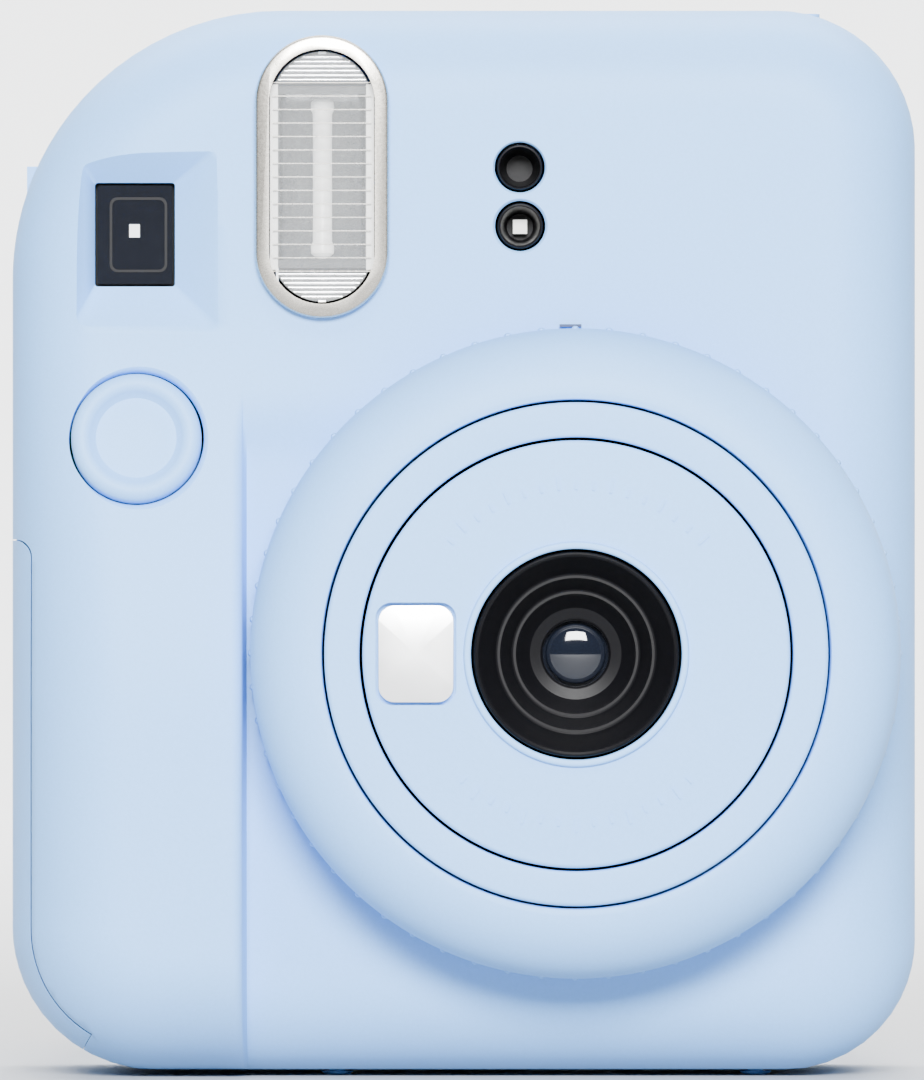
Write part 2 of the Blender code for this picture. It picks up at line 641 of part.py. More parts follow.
def flash_unit():
    seat = FLASH_SEAT_Y - GAP
    inner = (FLASH_SIZE[0] - 2 * FLASH_RIM, FLASH_SIZE[1] - 2 * FLASH_RIM)
    bezel = put_solid("flash_bezel", flash_slab(FLASH_SIZE, FLASH_FRONT_Y, seat), "nickel")
    fuse(bezel, "flash_neck", flash_slab(FLASH_NECK, seat - 0.4, -11.2))
    cut(bezel, "flash_bezel_hole", flash_slab(inner, -20.0, -8.0))
    clear = [side - 2 * GAP for side in inner]
    put_solid("flash_lens", flash_slab(clear, FLASH_FRONT_Y + 0.35, -15.0), "glass")
    half_w, half_h = REFLECTOR_SIZE[0] / 2, REFLECTOR_SIZE[1] / 2
    low = (FLASH_X - half_w, -14.6, FLASH_Z - half_h)
    reflector = put_solid("flash_reflector", box(low, (FLASH_X + half_w, -5.6, FLASH_Z + half_h)), "chrome")
    trough = [(FLASH_X + 4.9 * math.cos(math.radians(a)), -14.7 + 8.2 * math.sin(math.radians(a)))
              for a in range(0, 181, 15)]
    mouth = [(FLASH_X - 4.9, -16.0), (FLASH_X + 4.9, -16.0)]
    hollow = prism(trough + mouth, "Z", FLASH_Z - half_h + 0.9, FLASH_Z + half_h - 0.9)
    cut(reflector, "flash_trough", hollow)
    tube = cylinder("Z", (FLASH_X, -10.6), 1.35, FLASH_Z - half_h + 1.4, FLASH_Z + half_h - 1.4, 20)
    put_solid("flash_tube", tube, "glass")


def centred_box(x, z, size, start, end):
    half_w, half_h = size[0] / 2, size[1] / 2
    return box((x - half_w, start, z - half_h), (x + half_w, end, z + half_h))


def viewfinder():
    place = (FINDER_X, FINDER_Z)
    put_solid("viewfinder_window", centred_box(*place, FINDER_WINDOW, FINDER_FLOOR_Y + 0.2, -9.4), "glass")
    tube = put_solid("viewfinder_tube", centred_box(*place, (10.6, 13.2), -8.6, 28.1), "black")
    cut(tube, "viewfinder_bore", centred_box(*place, (8.4, 11.0), -10.0, 30.0))
    frame = rounded_rectangle(place, (13.0, 15.6), 2.3)
    eyepiece = put_solid("eyepiece_frame", prism(frame, "Y", 28.5, EYEPIECE_Y), "black")
    cut(eyepiece, "eyepiece_bore", centred_box(*place, (7.2, 9.0), 27.0, 35.0))
    put_solid("eyepiece_lens", centred_box(*place, (6.6, 8.4), 29.0, 30.6), "glass")


def light_sensors():
    for name, place in SENSOR_PLACES.items():
        cup = [(SENSOR_RADIUS, -15.0), (SENSOR_RADIUS, -8.5), (0.0, -8.5), (0.0, -9.6), (1.5, -9.6)]
        put_solid(name, turned(cup + [(2.3, -14.6), (2.4, -15.0)], "Y", place, 24), "black")
    x, z = SENSOR_PLACES["light_sensor_cup_lower"]
    put_solid("light_sensor", box((x - 0.8, -11.0, z - 0.8), (x + 0.8, -9.9, z + 0.8)), "white")


BUTTON_Y = front_y(BUTTON_X, BUTTON_Z, 0.0)


def tilted(shape):
    """A shape built along Y at the shutter button, leaned back to lie on the grip."""
    cosine, sine = math.cos(BUTTON_TILT), math.sin(BUTTON_TILT)
    points = []
    for x, y, z in shape[0]:
        dy, dz = y - BUTTON_Y, z - BUTTON_Z
        points.append((x, BUTTON_Y + dy * cosine + dz * sine, BUTTON_Z - dy * sine + dz * cosine))
    return points, shape[1]


def button_axis_prism(radius, start, end, count=32):
    place = (BUTTON_X, BUTTON_Z)
    return tilted(cylinder("Y", place, radius, BUTTON_Y + start, BUTTON_Y + end, count))


def shutter_button():
    origin = (BUTTON_X, BUTTON_Y, BUTTON_Z)
    rim = arc((6.2, 0.35), 1.2, 0, -150, 4)
    corners = [(BUTTON_RADIUS, 3.4), *[(r, y) for r, y in rim], (4.6, 0.25), (0.0, 0.25), (0.0, 1.6)]
    corners += [(BUTTON_RADIUS - 1.4, 1.6), (BUTTON_RADIUS - 1.4, 3.4)]
    profile = [(r, BUTTON_Y + y) for r, y in corners]
    cap = tilted(turned(profile, "Y", (BUTTON_X, BUTTON_Z), 32))
    button = put_solid("shutter_button", cap, "blue", origin)
    fuse(button, "button_stem", button_axis_prism(1.6, 1.0, 4.6, 20))
    rings = [(2.2, 3.2), (3.2, 3.2), (3.2, 6.6), (2.2, 6.6)]
    spring = tilted(turned([(r, BUTTON_Y + y) for r, y in rings], "Y", (BUTTON_X, BUTTON_Z), 24))
    put_solid("shutter_button_spring", spring, "steel", origin)
    seat = put_solid("shutter_switch", button_axis_prism(5.2, 7.0, 9.4, 24), "dark_grey")
    fuse(seat, "switch_dome", button_axis_prism(1.3, 6.4, 7.4, 16))


# ---------------------------------------------------------------- chassis and film path

def chassis():
    (left, right), (low, high) = CHAMBER_X, CHAMBER_Z
    wall = 1.7
    middle = ((left + right) / 2, (low + high) / 2)
    size = (right - left + 2 * wall, high - low + 2 * wall)
    block = prism(rounded_rectangle(middle, size, 5.0), "Y", 12.1, CHAMBER_Y[1])
    frame = put_solid("chassis", block, "black")
    flange = prism(rounded_rectangle((12.4, 55.2), (68.2, 96.6), 8.0, 6), "Y", 24.9, CHAMBER_Y[1] - 0.01)
    fuse(frame, "chassis_flange", flange)
    chamber = box((left, CHAMBER_Y[0], low), (right, 30.0, high))
    cut(frame, "chassis_chamber", chamber)
    cut(frame, "image_gate", centred_box(LENS_X, LENS_Z, IMAGE_SIZE, 10.0, 15.0))
    cut(frame, "film_exit", box((-15.4, 13.7, high - 1.0), (40.8, 15.7, high + 4.0)))
    cut(frame, "pick_slot", box((PICK_X[0] - 0.8, 10.0, 8.3), (PICK_X[1] + 0.8, 15.0, 24.0)))


def film_pick():
    left, right = PICK_X
    pick = put_solid("film_pick", box((left, 9.0, 9.0), (right, 11.6, 34.0)), "steel", (left, 9.0, 9.0))
    fuse(pick, "pick_claw", box((left + 0.4, 10.0, 9.4), (right - 0.4, 15.2, 11.4)))


def gear_outline(centre, teeth, phase):
    """Spur gear outline in YZ; the phase in radians points at a tooth."""
    pitch = MODULE * teeth / 2
    root, tip = pitch - 1.15 * MODULE, pitch + 0.8 * MODULE
    step = 2 * math.pi / teeth
    outline = []
    for tooth in range(teeth):
        angle = phase + tooth * step
        for radius, offset in ((root, -0.29), (tip, -0.11), (tip, 0.11), (root, 0.29)):
            a = angle + offset * step
            outline.append((centre[0] + radius * math.cos(a), centre[1] + radius * math.sin(a)))
    return outline


def meshing(first, first_phase, first_teeth, second, second_teeth):
    """Phase that puts a gap of the second gear at the first gear's nearest tooth."""
    toward = math.atan2(second[1] - first[1], second[0] - first[0])
    lead = (first_phase - toward) * first_teeth / second_teeth
    return toward + math.pi + math.pi / second_teeth - lead


MODULE = (2 * ROLLER_RADIUS + ROLLER_GAP) / GEAR_TEETH["roller"]
FRONT_ROLLER = (NIP_Y - ROLLER_RADIUS - ROLLER_GAP / 2, ROLLER_Z)
REAR_ROLLER = (NIP_Y + ROLLER_RADIUS + ROLLER_GAP / 2, ROLLER_Z)
IDLER_ANGLE, MOTOR_ANGLE = math.radians(219.5), math.radians(225.0)


def stepped(start, distance_teeth, angle):
    distance = MODULE * distance_teeth / 2
    return start[0] + distance * math.cos(angle), start[1] + distance * math.sin(angle)


IDLER = stepped(FRONT_ROLLER, GEAR_TEETH["roller"] + GEAR_TEETH["idler"], IDLER_ANGLE)
MOTOR = stepped(IDLER, GEAR_TEETH["idler"] + GEAR_TEETH["pinion"], MOTOR_ANGLE)
JOURNAL, SHAFT = 1.35, 0.9


def gear_shape(centre, teeth, phase):
    return prism(gear_outline(centre, teeth, phase), "X", *GEAR_X)


def put_gear(name, centre, teeth, phase, bore):
    gear = put_solid(name, gear_shape(centre, teeth, phase), "white", (GEAR_X[0], *centre))
    cut(gear, name + "_bore", cylinder("X", centre, bore + 0.2, GEAR_X[0] - 1, GEAR_X[1] + 1, 20))


def film_transport():
    start, end = ROLLER_X
    ends = (BRACKET_X["roller_bracket_left"][0] - 1.2, GEAR_X[1] + 0.6)
    roller_teeth, idler_teeth = GEAR_TEETH["roller"], GEAR_TEETH["idler"]
    rear_phase = meshing(FRONT_ROLLER, 0.0, roller_teeth, REAR_ROLLER, roller_teeth)
    rollers = (("feed_roller_front", FRONT_ROLLER, 0.0), ("feed_roller_rear", REAR_ROLLER, rear_phase))
    for name, centre, phase in rollers:
        profile = [(0.0, ends[0]), (JOURNAL, ends[0]), (JOURNAL, start), (ROLLER_RADIUS, start)]
        profile += [(ROLLER_RADIUS, end), (JOURNAL, end), (JOURNAL, ends[1]), (0.0, ends[1])]
        roller = put_solid(name, turned(profile, "X", centre, 32), "steel", (start, *centre))
        fuse(roller, name + "_gear", gear_shape(centre, roller_teeth, phase))
    idler_phase = meshing(FRONT_ROLLER, 0.0, roller_teeth, IDLER, idler_teeth)
    pinion_phase = meshing(IDLER, idler_phase, idler_teeth, MOTOR, GEAR_TEETH["pinion"])
    put_gear("idler_gear", IDLER, idler_teeth, idler_phase, 1.0)
    put_gear("motor_pinion", MOTOR, GEAR_TEETH["pinion"], pinion_phase, SHAFT - 0.1)
    motor = put_solid("drive_motor", cylinder("X", MOTOR, 5.8, 17.0, 40.2), "steel")
    fuse(motor, "motor_shaft", cylinder("X", MOTOR, SHAFT - 0.1, 39.0, GEAR_X[1] + 0.4, 16))
    roller_brackets()


def roller_brackets():
    plate = [(22.2, 103.4), (22.2, 112.4), (6.6, 112.4)]
    motor_arm = [(-6.0, 106.0), (-8.4, 101.0), (-8.4, 89.6), (6.4, 89.6), (11.0, 97.0), (11.0, 103.4)]
    outlines = {
        "roller_bracket_left": plate + [(6.6, 103.4)],
        "roller_bracket_right": plate + motor_arm,
    }
    for name, outline in outlines.items():
        bracket = put_solid(name, prism(outline, "X", *BRACKET_X[name]), "steel")
        start, end = BRACKET_X[name][0] - 2, BRACKET_X[name][1] + 2
        for number, centre in enumerate((FRONT_ROLLER, REAR_ROLLER)):
            cut(bracket, f"{name}_bore_{number}", cylinder("X", centre, JOURNAL + 0.2, start, end, 20))
    cut(bracket, "motor_shaft_hole", cylinder("X", MOTOR, SHAFT + 0.3, start, end, 20))
    fuse(bracket, "idler_post", cylinder("X", IDLER, 1.0, BRACKET_X[name][0] + 0.5, GEAR_X[1] + 0.4, 20))


# ---------------------------------------------------------------- power and electronics

def battery_compartment():
    left, right = CELL_X - 3.8, CELL_X + 8.5
    front, rear = -15.2, 17.8
    low, high = CELL_BOTTOM_Z - 1.6, CELL_BOTTOM_Z + CELL_LENGTH + 2.4
    holder = put_solid("battery_holder", box((left, front, low), (right, rear, high)), "dark_grey")
    cut(holder, "battery_bay", box((left - 3, front + 1.0, low + 1.0), (right - 1.0, rear - 1.0, high - 1.0)))
    for name, y in CELL_PLACES_Y.items():
        base, top = CELL_BOTTOM_Z + 0.4, CELL_BOTTOM_Z + CELL_LENGTH - 0.4
        nub = top + 1.2
        profile = [(0.0, base), (6.4, base), (CELL_RADIUS - 0.1, base + 0.6), (CELL_RADIUS - 0.1, top - 0.6)]
        profile += [(6.4, top), (2.6, top), (2.6, nub), (0.0, nub)]
        put_solid(name, turned(profile, "Z", (CELL_X, y), 28), "cell_wrap")
    bridge = box((left + 0.6, front + 1.6, low + 1.2), (right - 1.6, rear - 1.6, low + 1.6))
    put_solid("battery_contact_bridge", bridge, "nickel")


def electronics():
    put_solid("main_board", box((-47.0, 18.4, 20.0), (-24.0, 19.6, 88.0)), "board_green")
    capacitor = [(0.0, 42.0), (4.0, 42.0), (4.3, 42.6), (4.3, 76.4), (4.0, 77.0), (0.0, 77.0)]
    put_solid("flash_capacitor", turned(capacitor, "Z", (-33.5, 24.4), 28), "dark_grey")


# ---------------------------------------------------------------- back fittings

def frame_counter():
    x, z = COUNTER_DIAL
    dial = [(0.0, 20.6), (1.0, 20.6), (1.0, 26.4), (7.6, 26.4), (7.6, 27.6), (0.0, 27.6)]
    put_solid("frame_counter_dial", turned(dial, "Y", COUNTER_DIAL, 40), "white", (x, 26.4, z))
    put_solid("counter_window", cylinder("Y", COUNTER_PLACE, 3.4, 28.3, BACK_Y - 0.2, 28), "glass")


def door_fittings():
    pane = prism(rounded_rectangle(PACK_WINDOW, (5.0, 20.0), 1.4), "Y", 29.5, BACK_Y - 0.1)
    put_solid("pack_window", pane, "glass")
    outline = [(29.15, 20.0), (29.15, 84.0), (28.8, 84.0)]
    for z in SPRING_BOWS:
        outline += [(28.8, z + 7.0), (27.5, z + 3.0), (27.5, z - 3.0), (28.8, z - 7.0)]
    put_solid("pressure_spring", prism(outline + [(28.8, 20.0)], "X", 16.8, 27.0), "steel")
    knob = rounded_rectangle((LATCH_X, LATCH_Z + 0.3), (7.0, 13.4), 2.0)
    latch = put_solid("film_door_latch", prism(knob, "Y", BACK_Y + 0.3, BACK_Y + 1.9), "blue",
                      (LATCH_X, BACK_Y, LATCH_Z))
    fuse(latch, "latch_stem", box((LATCH_X - 1.6, 28.0, LATCH_Z - 3.2), (LATCH_X + 1.6, 31.9, LATCH_Z + 4.4)))
    fuse(latch, "latch_hook", box((LATCH_X - 2.6, 27.4, LATCH_Z - 6.0), (LATCH_X + 2.6, 28.8, LATCH_Z + 6.0)))


def film_exit_bezel():
    block = prism(rounded_rectangle((LENS_X, NIP_Y), EXIT_SIZE, 1.5), "Z", TOP - 4.5, TOP + 0.3)
    bezel = put_solid("film_exit_bezel", block, "blue")
    low = (LENS_X - EXIT_SLOT[0] / 2, NIP_Y - EXIT_SLOT[1] / 2, TOP - 8.0)
    high = (LENS_X + EXIT_SLOT[0] / 2, NIP_Y + EXIT_SLOT[1] / 2, TOP + 2.0)
    cut(bezel, "exit_slot", box(low, high))


def strap_lugs():
    for side, (start, end) in LUG_X.items():
        lug = put_solid(f"strap_lug_{side}", box((start, *LUG_LOW), (end, *LUG_HIGH)), "blue")
        outer = end + 2 if side == "right" else start - 2
        depth = (start + 0.9, outer) if side == "right" else (outer, end - 0.9)
        near = (depth[0], LUG_LOW[0] + 0.8, LUG_LOW[1] + 0.8)
        far = (depth[1], LUG_HIGH[0] - 0.8, LUG_HIGH[1] - 0.8)
        pocket = box(near, far)
        cut(lug, f"lug_pocket_{side}", pocket)
        bar_x = end - 1.4 if side == "right" else start + 1.4
        middle = (LUG_LOW[0] + LUG_HIGH[0]) / 2
        bar = cylinder("Z", (bar_x, middle), 0.7, LUG_LOW[1] + 0.4, LUG_HIGH[1] - 0.4, 16)
        fuse(lug, f"lug_bar_{side}", bar)


def feet():
    for depth, y in zip(("front", "rear"), FOOT_Y):
        for side, x in zip(("left", "right"), FOOT_X):
            profile = [(0.0, 0.0), (1.1, 0.0), (1.6, 0.12), (FOOT_RADIUS, 0.4), (FOOT_STEM, 0.4)]
            profile += [(FOOT_STEM, 3.2), (0.0, 3.2)]
            put_solid(f"foot_{depth}_{side}", turned(profile, "Z", (x, y), 12), "blue")


def hinge_pins():
    hinge_pin("film_door_hinge_pin", DOOR_HINGE, 21.6, 88.4)
    hinge_pin("battery_door_hinge_pin", BATTERY_HINGE, 21.6, 57.4)


def build():
    clear_scene()
    front_cover()
    rear_cover()
    film_door()
    battery_door()
    lens_ring()
    outer_barrel()
    inner_barrel()
    lens_hood()
    shutter_unit()
    lens_mount()
    dark_box()
    flash_unit()
    viewfinder()
    light_sensors()
    shutter_button()
    chassis()
    film_pick()
    film_transport()
    battery_compartment()
    electronics()
    frame_counter()
    door_fittings()
    film_exit_bezel()
    strap_lugs()
    feet()
    hinge_pins()


build()
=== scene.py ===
"""Detailed look of the instant camera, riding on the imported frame's bodies.

Lengths are millimetres until put() turns them into metres.
"""

import math

import bmesh
import bpy
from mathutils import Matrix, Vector
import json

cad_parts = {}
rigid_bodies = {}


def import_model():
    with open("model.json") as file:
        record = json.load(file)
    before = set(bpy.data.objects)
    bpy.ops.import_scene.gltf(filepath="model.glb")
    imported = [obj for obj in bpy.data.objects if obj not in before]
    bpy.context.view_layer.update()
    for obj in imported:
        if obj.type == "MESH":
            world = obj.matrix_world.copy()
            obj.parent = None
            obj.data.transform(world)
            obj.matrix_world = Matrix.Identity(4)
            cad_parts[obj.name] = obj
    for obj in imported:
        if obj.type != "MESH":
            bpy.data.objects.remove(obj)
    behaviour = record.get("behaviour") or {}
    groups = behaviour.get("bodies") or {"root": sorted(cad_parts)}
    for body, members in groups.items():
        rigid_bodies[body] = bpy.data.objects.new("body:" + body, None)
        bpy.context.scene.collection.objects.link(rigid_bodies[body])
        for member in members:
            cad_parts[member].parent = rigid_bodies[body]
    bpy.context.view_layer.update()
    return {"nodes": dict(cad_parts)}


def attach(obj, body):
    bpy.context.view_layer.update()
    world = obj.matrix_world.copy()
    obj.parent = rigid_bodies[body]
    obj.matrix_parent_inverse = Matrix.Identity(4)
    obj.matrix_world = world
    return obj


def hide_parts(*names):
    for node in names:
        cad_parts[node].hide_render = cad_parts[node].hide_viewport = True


MM = 0.001
GAP = 0.3
WALL = 1.8

# Body outline and depths, as in the CAD model
LEFT, RIGHT, BOTTOM, TOP = -52.0, 52.0, 0.7, 122.7
CORNERS = (
    (-21.0, 91.7, 31.0, -1, 1),
    (36.0, 106.7, 16.0, 1, 1),
    (-35.5, 17.2, 16.5, -1, -1),
    (37.0, 15.7, 15.0, 1, -1),
)
FACE_Y, PARTING_Y, BACK_Y = -15.0, 9.0, 31.2
FRONT_REACH, FRONT_DEPTH = 10.0, 11.0
BACK_REACH, BACK_DEPTH = 9.0, 9.0
CROWN, CROWN_REACH = 0.8, 26.0
GRIP_RISE, GRIP_EDGE_X = 6.5, -25.2
GRIP_TOP_Z, GRIP_FULL_Z = 90.0, 40.0
GRIP_FADE_Z = (71.0, 79.0)
GRIP_SIDE_FADE, GRIP_EXTRA_REACH, GRIP_STEP = 24.0, 3.0, 0.4
GRIP_ROUND = 1.3
SEAM_SHOWN = 0.12

# Lens unit
LENS = (12.7, 48.8)
RING_RADIUS, RING_BORE, RING_FRONT_Y = 37.0, 28.75, -31.9
PEDESTAL_RADIUS, PEDESTAL_Y = 36.2, -16.2
LENS_FRONT_Y = -33.3
MIRROR, MIRROR_SIZE, MIRROR_CORNER = (-5.4, 48.85), (8.5, 11.0), 1.8

# Front fittings
FLASH, FLASH_SIZE, FLASH_RIM = (-16.2, 103.2), (15.3, 32.3), 1.6
FLASH_FRONT_Y, FLASH_SEAT_Y = -16.7, -15.15
REFLECTOR = (10.8, 20.8)
FINDER, FINDER_WINDOW = (-37.7, 96.7), (8.6, 11.3)
FINDER_MOUTH = (-44.9, -27.6, 85.2, 106.6)
FINDER_FLOOR_Y = -10.6
SENSORS = {"light_sensor_cup_upper": (6.4, 104.3), "light_sensor_cup_lower": (6.45, 97.6)}
BUTTON, BUTTON_RADIUS, BUTTON_TILT = (-37.4, 73.4), 7.43, math.radians(9.0)

# Doors and fittings
DOOR_X, DOOR_Z, DOOR_Y, DOOR_HINGE = -22.0, (6.0, 105.0), 27.0, (50.2, 27.1)
BATTERY_HINGE, BATTERY_TOP, BATTERY_END_X, SEAM_INSET = (-50.8, 7.9), 61.7, -42.6, 2.5
KNUCKLES = {
    "film": {"cover": ((22.0, 30.0), (80.0, 88.0)), "door": ((30.4, 79.6),)},
    "battery": {"cover": ((22.0, 27.0), (52.0, 57.0)), "door": ((27.4, 51.6),)},
}
NIP_Y, EXIT_SIZE, EXIT_SLOT = 14.5, (57.6, 5.6), (54.8, 2.0)
COUNTER, PACK_WINDOW, LATCH = (-37.0, 34.0), (8.0, 52.0), (-17.0, 60.0)
FOOT_X, FOOT_Y, FOOT_STEM = (-14.6, 33.7), (0.0, 18.0), 0.9
LUG_X = {"left": (-50.4, -46.4), "right": (47.6, 51.7)}
LUG_LOW, LUG_HIGH = (-1.7, 95.1), (4.3, 105.1)

# Turned details
BARREL_ROUND, ROUND = 256, 160
NUB_COUNT, NUB_CIRCLE = 60, 36.85
TICK_CIRCLE = 18.6
KNUCKLE_RADIUS, PIN_RADIUS = 1.2, 0.45
FLASH_LINE_PITCH, FLASH_RIB_PITCH = 1.54, 0.52

# Spacing of the casing's rows and columns, outside and inside
FINE, INNER = 1.2, 3.0

# Studio, in metres and watts: place, size, power and aim of each light
LIGHTS = {
    "front": ((0.05, -1.8, 0.75), (0.8, 0.5), 128.0, (0.0, 0.0, 0.06)),
    "high": ((0.08, -0.95, 1.75), (0.5, 0.5), 20.0, (0.0, 0.0, 0.06)),
    "backdrop": ((0.0, 0.9, 1.7), (2.6, 0.8), 300.0, (0.0, 2.0, 0.5)),
}
WORLD_COLOUR, WORLD_STRENGTH = (0.95, 0.97, 1.0, 1.0), 0.06
SWEEP_COLOUR, SWEEP_START, SWEEP_HALF_WIDTH, SWEEP_HEIGHT = (0.45, 0.455, 0.46), -2.4, 2.5, 3.0
SWEEP_BEND_Y, SWEEP_BEND = 1.5, 0.6
CAMERA_PLACE, CAMERA_LENS, SENSOR_HEIGHT = (-0.0002, -1.4, 0.0617), 269.3, 24.0


# ---------------------------------------------------------------- materials

def node_material(name, colour, roughness, metallic=0.0, grain=900.0, shade=0.03, bump=0.05, **extra):
    """Principled surface whose colour, roughness and relief vary with noise in the object's space."""
    material = bpy.data.materials.new(name)
    material.use_nodes = True
    tree = material.node_tree
    shader = tree.nodes["Principled BSDF"]
    shader.inputs["Metallic"].default_value = metallic
    for socket, value in extra.items():
        shader.inputs[socket.replace("_", " ")].default_value = value
    coordinates = tree.nodes.new("ShaderNodeTexCoord")
    noise = tree.nodes.new("ShaderNodeTexNoise")
    noise.inputs["Scale"].default_value = grain
    noise.inputs["Detail"].default_value = 3.0
    tree.links.new(coordinates.outputs["Object"], noise.inputs["Vector"])
    ramp = tree.nodes.new("ShaderNodeValToRGB")
    for stop, side in zip(ramp.color_ramp.elements, (-1, 1)):
        stop.color = (*[min(max(c * (1 + side * shade), 0.0), 1.0) for c in colour], 1.0)
    ramp.color_ramp.elements[0].position = 0.3
    ramp.color_ramp.elements[1].position = 0.7
    tree.links.new(noise.outputs["Fac"], ramp.inputs["Fac"])
    tree.links.new(ramp.outputs["Color"], shader.inputs["Base Color"])
    spread = tree.nodes.new("ShaderNodeMapRange")
    spread.inputs["To Min"].default_value = max(roughness - 0.04, 0.02)
    spread.inputs["To Max"].default_value = min(roughness + 0.04, 1.0)
    tree.links.new(noise.outputs["Fac"], spread.inputs["Value"])
    tree.links.new(spread.outputs["Result"], shader.inputs["Roughness"])
    relief = tree.nodes.new("ShaderNodeBump")
    relief.inputs["Strength"].default_value = bump
    relief.inputs["Distance"].default_value = 0.00005
    tree.links.new(noise.outputs["Fac"], relief.inputs["Height"])
    tree.links.new(relief.outputs["Normal"], shader.inputs["Normal"])
    return material


def make_materials():
    thin = {"Alpha": 0.08, "Specular_IOR_Level": 0.6}
    return {
        "blue": node_material("body_blue", (0.23, 0.50, 0.95), 0.5, grain=2400, shade=0.02, bump=0.25,
                              Specular_IOR_Level=0.25),
        "black": node_material("black_plastic", (0.003, 0.003, 0.004), 0.42, grain=1800, bump=0.1,
                               Specular_IOR_Level=0.15),
        "gloss_black": node_material("gloss_black", (0.008, 0.009, 0.012), 0.07, bump=0.0, Coat_Weight=0.6),
        # gap_shade: navy painted shade, used for the dark line where the lens ring meets the face
        "navy": node_material("gap_shade", (0.03, 0.05, 0.11), 0.6, bump=0.1),
        "grey": node_material("dark_plastic", (0.10, 0.10, 0.11), 0.5, grain=1500, bump=0.12),
        "white": node_material("white_plastic", (0.82, 0.82, 0.80), 0.35, shade=0.02),
        "nickel": node_material("nickel_trim", (0.44, 0.42, 0.38), 0.27, 1.0, grain=3000, bump=0.1),
        "chrome": node_material("reflector_chrome", (0.95, 0.96, 0.97), 0.08, 1.0, grain=600, bump=0.04),
        "mirror": node_material("mirror_face", (0.90, 0.91, 0.92), 0.3, 1.0, grain=200, bump=0.0),
        "steel": node_material("steel", (0.50, 0.51, 0.53), 0.32, 1.0, grain=1600, bump=0.08),
        "clear": node_material("clear_plastic", (0.93, 0.96, 0.98), 0.05, grain=300, bump=0.02, **thin),
        "optic": node_material("coated_optic", (0.006, 0.008, 0.014), 0.05, grain=200, bump=0.0,
                               Coat_Weight=0.2),
        "board": node_material("circuit_board", (0.03, 0.20, 0.09), 0.45, grain=700, shade=0.2, bump=0.2),
        "cell": node_material("cell_jacket", (0.22, 0.24, 0.27), 0.33, 0.3, grain=500),
    }


# ---------------------------------------------------------------- building tools

def make_object(name, shape):
    points, faces = shape
    mesh = bpy.data.meshes.new(name)
    mesh.from_pydata([Vector(point) * MM for point in points], [], faces)
    work = bmesh.new()
    work.from_mesh(mesh)
    bmesh.ops.remove_doubles(work, verts=work.verts, dist=1e-7)
    bmesh.ops.recalc_face_normals(work, faces=work.faces)
    work.to_mesh(mesh)
    work.free()
    obj = bpy.data.objects.new(name, mesh)
    bpy.context.scene.collection.objects.link(obj)
    return obj


def apply_boolean(obj, shape, operation="DIFFERENCE"):
    """Cuts, joins or intersects obj with a shape, and leaves no helper behind."""
    other = make_object("helper", shape)
    modifier = obj.modifiers.new("boolean", "BOOLEAN")
    modifier.operation = operation
    modifier.object = other
    modifier.solver = "EXACT"
    graph = bpy.context.evaluated_depsgraph_get()
    result = bpy.data.meshes.new_from_object(obj.evaluated_get(graph))
    obj.modifiers.remove(modifier)
    before, obj.data = obj.data, result
    bpy.data.meshes.remove(before)
    leftover = other.data
    bpy.data.objects.remove(other)
    bpy.data.meshes.remove(leftover)


def loft(loops):
    """Solid skinned over a row of equal loops, with a flat cap at each end."""
    count = len(loops[0])
    points = [point for loop in loops for point in loop]
    faces = []
    for row in range(len(loops) - 1):
        for i in range(count):
            j = (i + 1) % count
            below, above = row * count, (row + 1) * count
            faces.append((below + i, below + j, above + j, above + i))
    faces.append(tuple(range(count)))
    faces.append(tuple(range(len(points) - count, len(points))))
    return points, faces


def along(axis, across, height):
    a, b = across
    return {"X": (height, a, b), "Y": (a, height, b), "Z": (a, b, height)}[axis]


def prism(outline, axis, start, end):
    return loft([[along(axis, point, height) for point in outline] for height in (start, end)])


def box(low, high):
    corners = [(low[0], low[1]), (high[0], low[1]), (high[0], high[1]), (low[0], high[1])]
    return prism(corners, "Z", low[2], high[2])


def circle(centre, radius, count):
    turn = 2 * math.pi / count
    return [(centre[0] + radius * math.cos(i * turn), centre[1] + radius * math.sin(i * turn))
            for i in range(count)]


def cylinder(axis, centre, radius, start, end, count=64):
    return prism(circle(centre, radius, count), axis, start, end)


def turned(profile, axis, centre, count=ROUND):
    """Solid swept by a closed profile of (radius, height) corners about an axis."""
    points, faces = [], []
    for radius, height in profile:
        points += [along(axis, point, height) for point in circle(centre, radius, count)]
    for k in range(len(profile)):
        following = (k + 1) % len(profile)
        if profile[k][0] == 0.0 and profile[following][0] == 0.0:
            continue
        for i in range(count):
            j = (i + 1) % count
            faces.append((k * count + i, k * count + j, following * count + j, following * count + i))
    return points, faces


def arc(centre, radius, start, end, steps):
    angles = [math.radians(start + (end - start) * i / steps) for i in range(steps + 1)]
    return [(centre[0] + radius * math.cos(a), centre[1] + radius * math.sin(a)) for a in angles]


def rounded_rectangle(centre, size, radius, steps=10):
    half_w, half_h = size[0] / 2 - radius, size[1] / 2 - radius
    outline = []
    for quarter, (sx, sy) in enumerate(((1, 1), (-1, 1), (-1, -1), (1, -1))):
        corner = (centre[0] + sx * half_w, centre[1] + sy * half_h)
        outline += arc(corner, radius, 90 * quarter, 90 * quarter + 90, steps)
    return outline


def stadium(centre, size, steps=28):
    return rounded_rectangle(centre, size, size[0] / 2 - 0.01, steps)


def smooth(t):
    t = min(max(t, 0.0), 1.0)
    return t * t * (3 - 2 * t)


def spaced(start, end, step):
    """Places from start up to but not including end, closest together at both ends."""
    count = max(2, math.ceil((end - start) / step))
    return [start + (end - start) * (1 - math.cos(math.pi * i / count)) / 2 for i in range(count)]


# ---------------------------------------------------------------- body surface

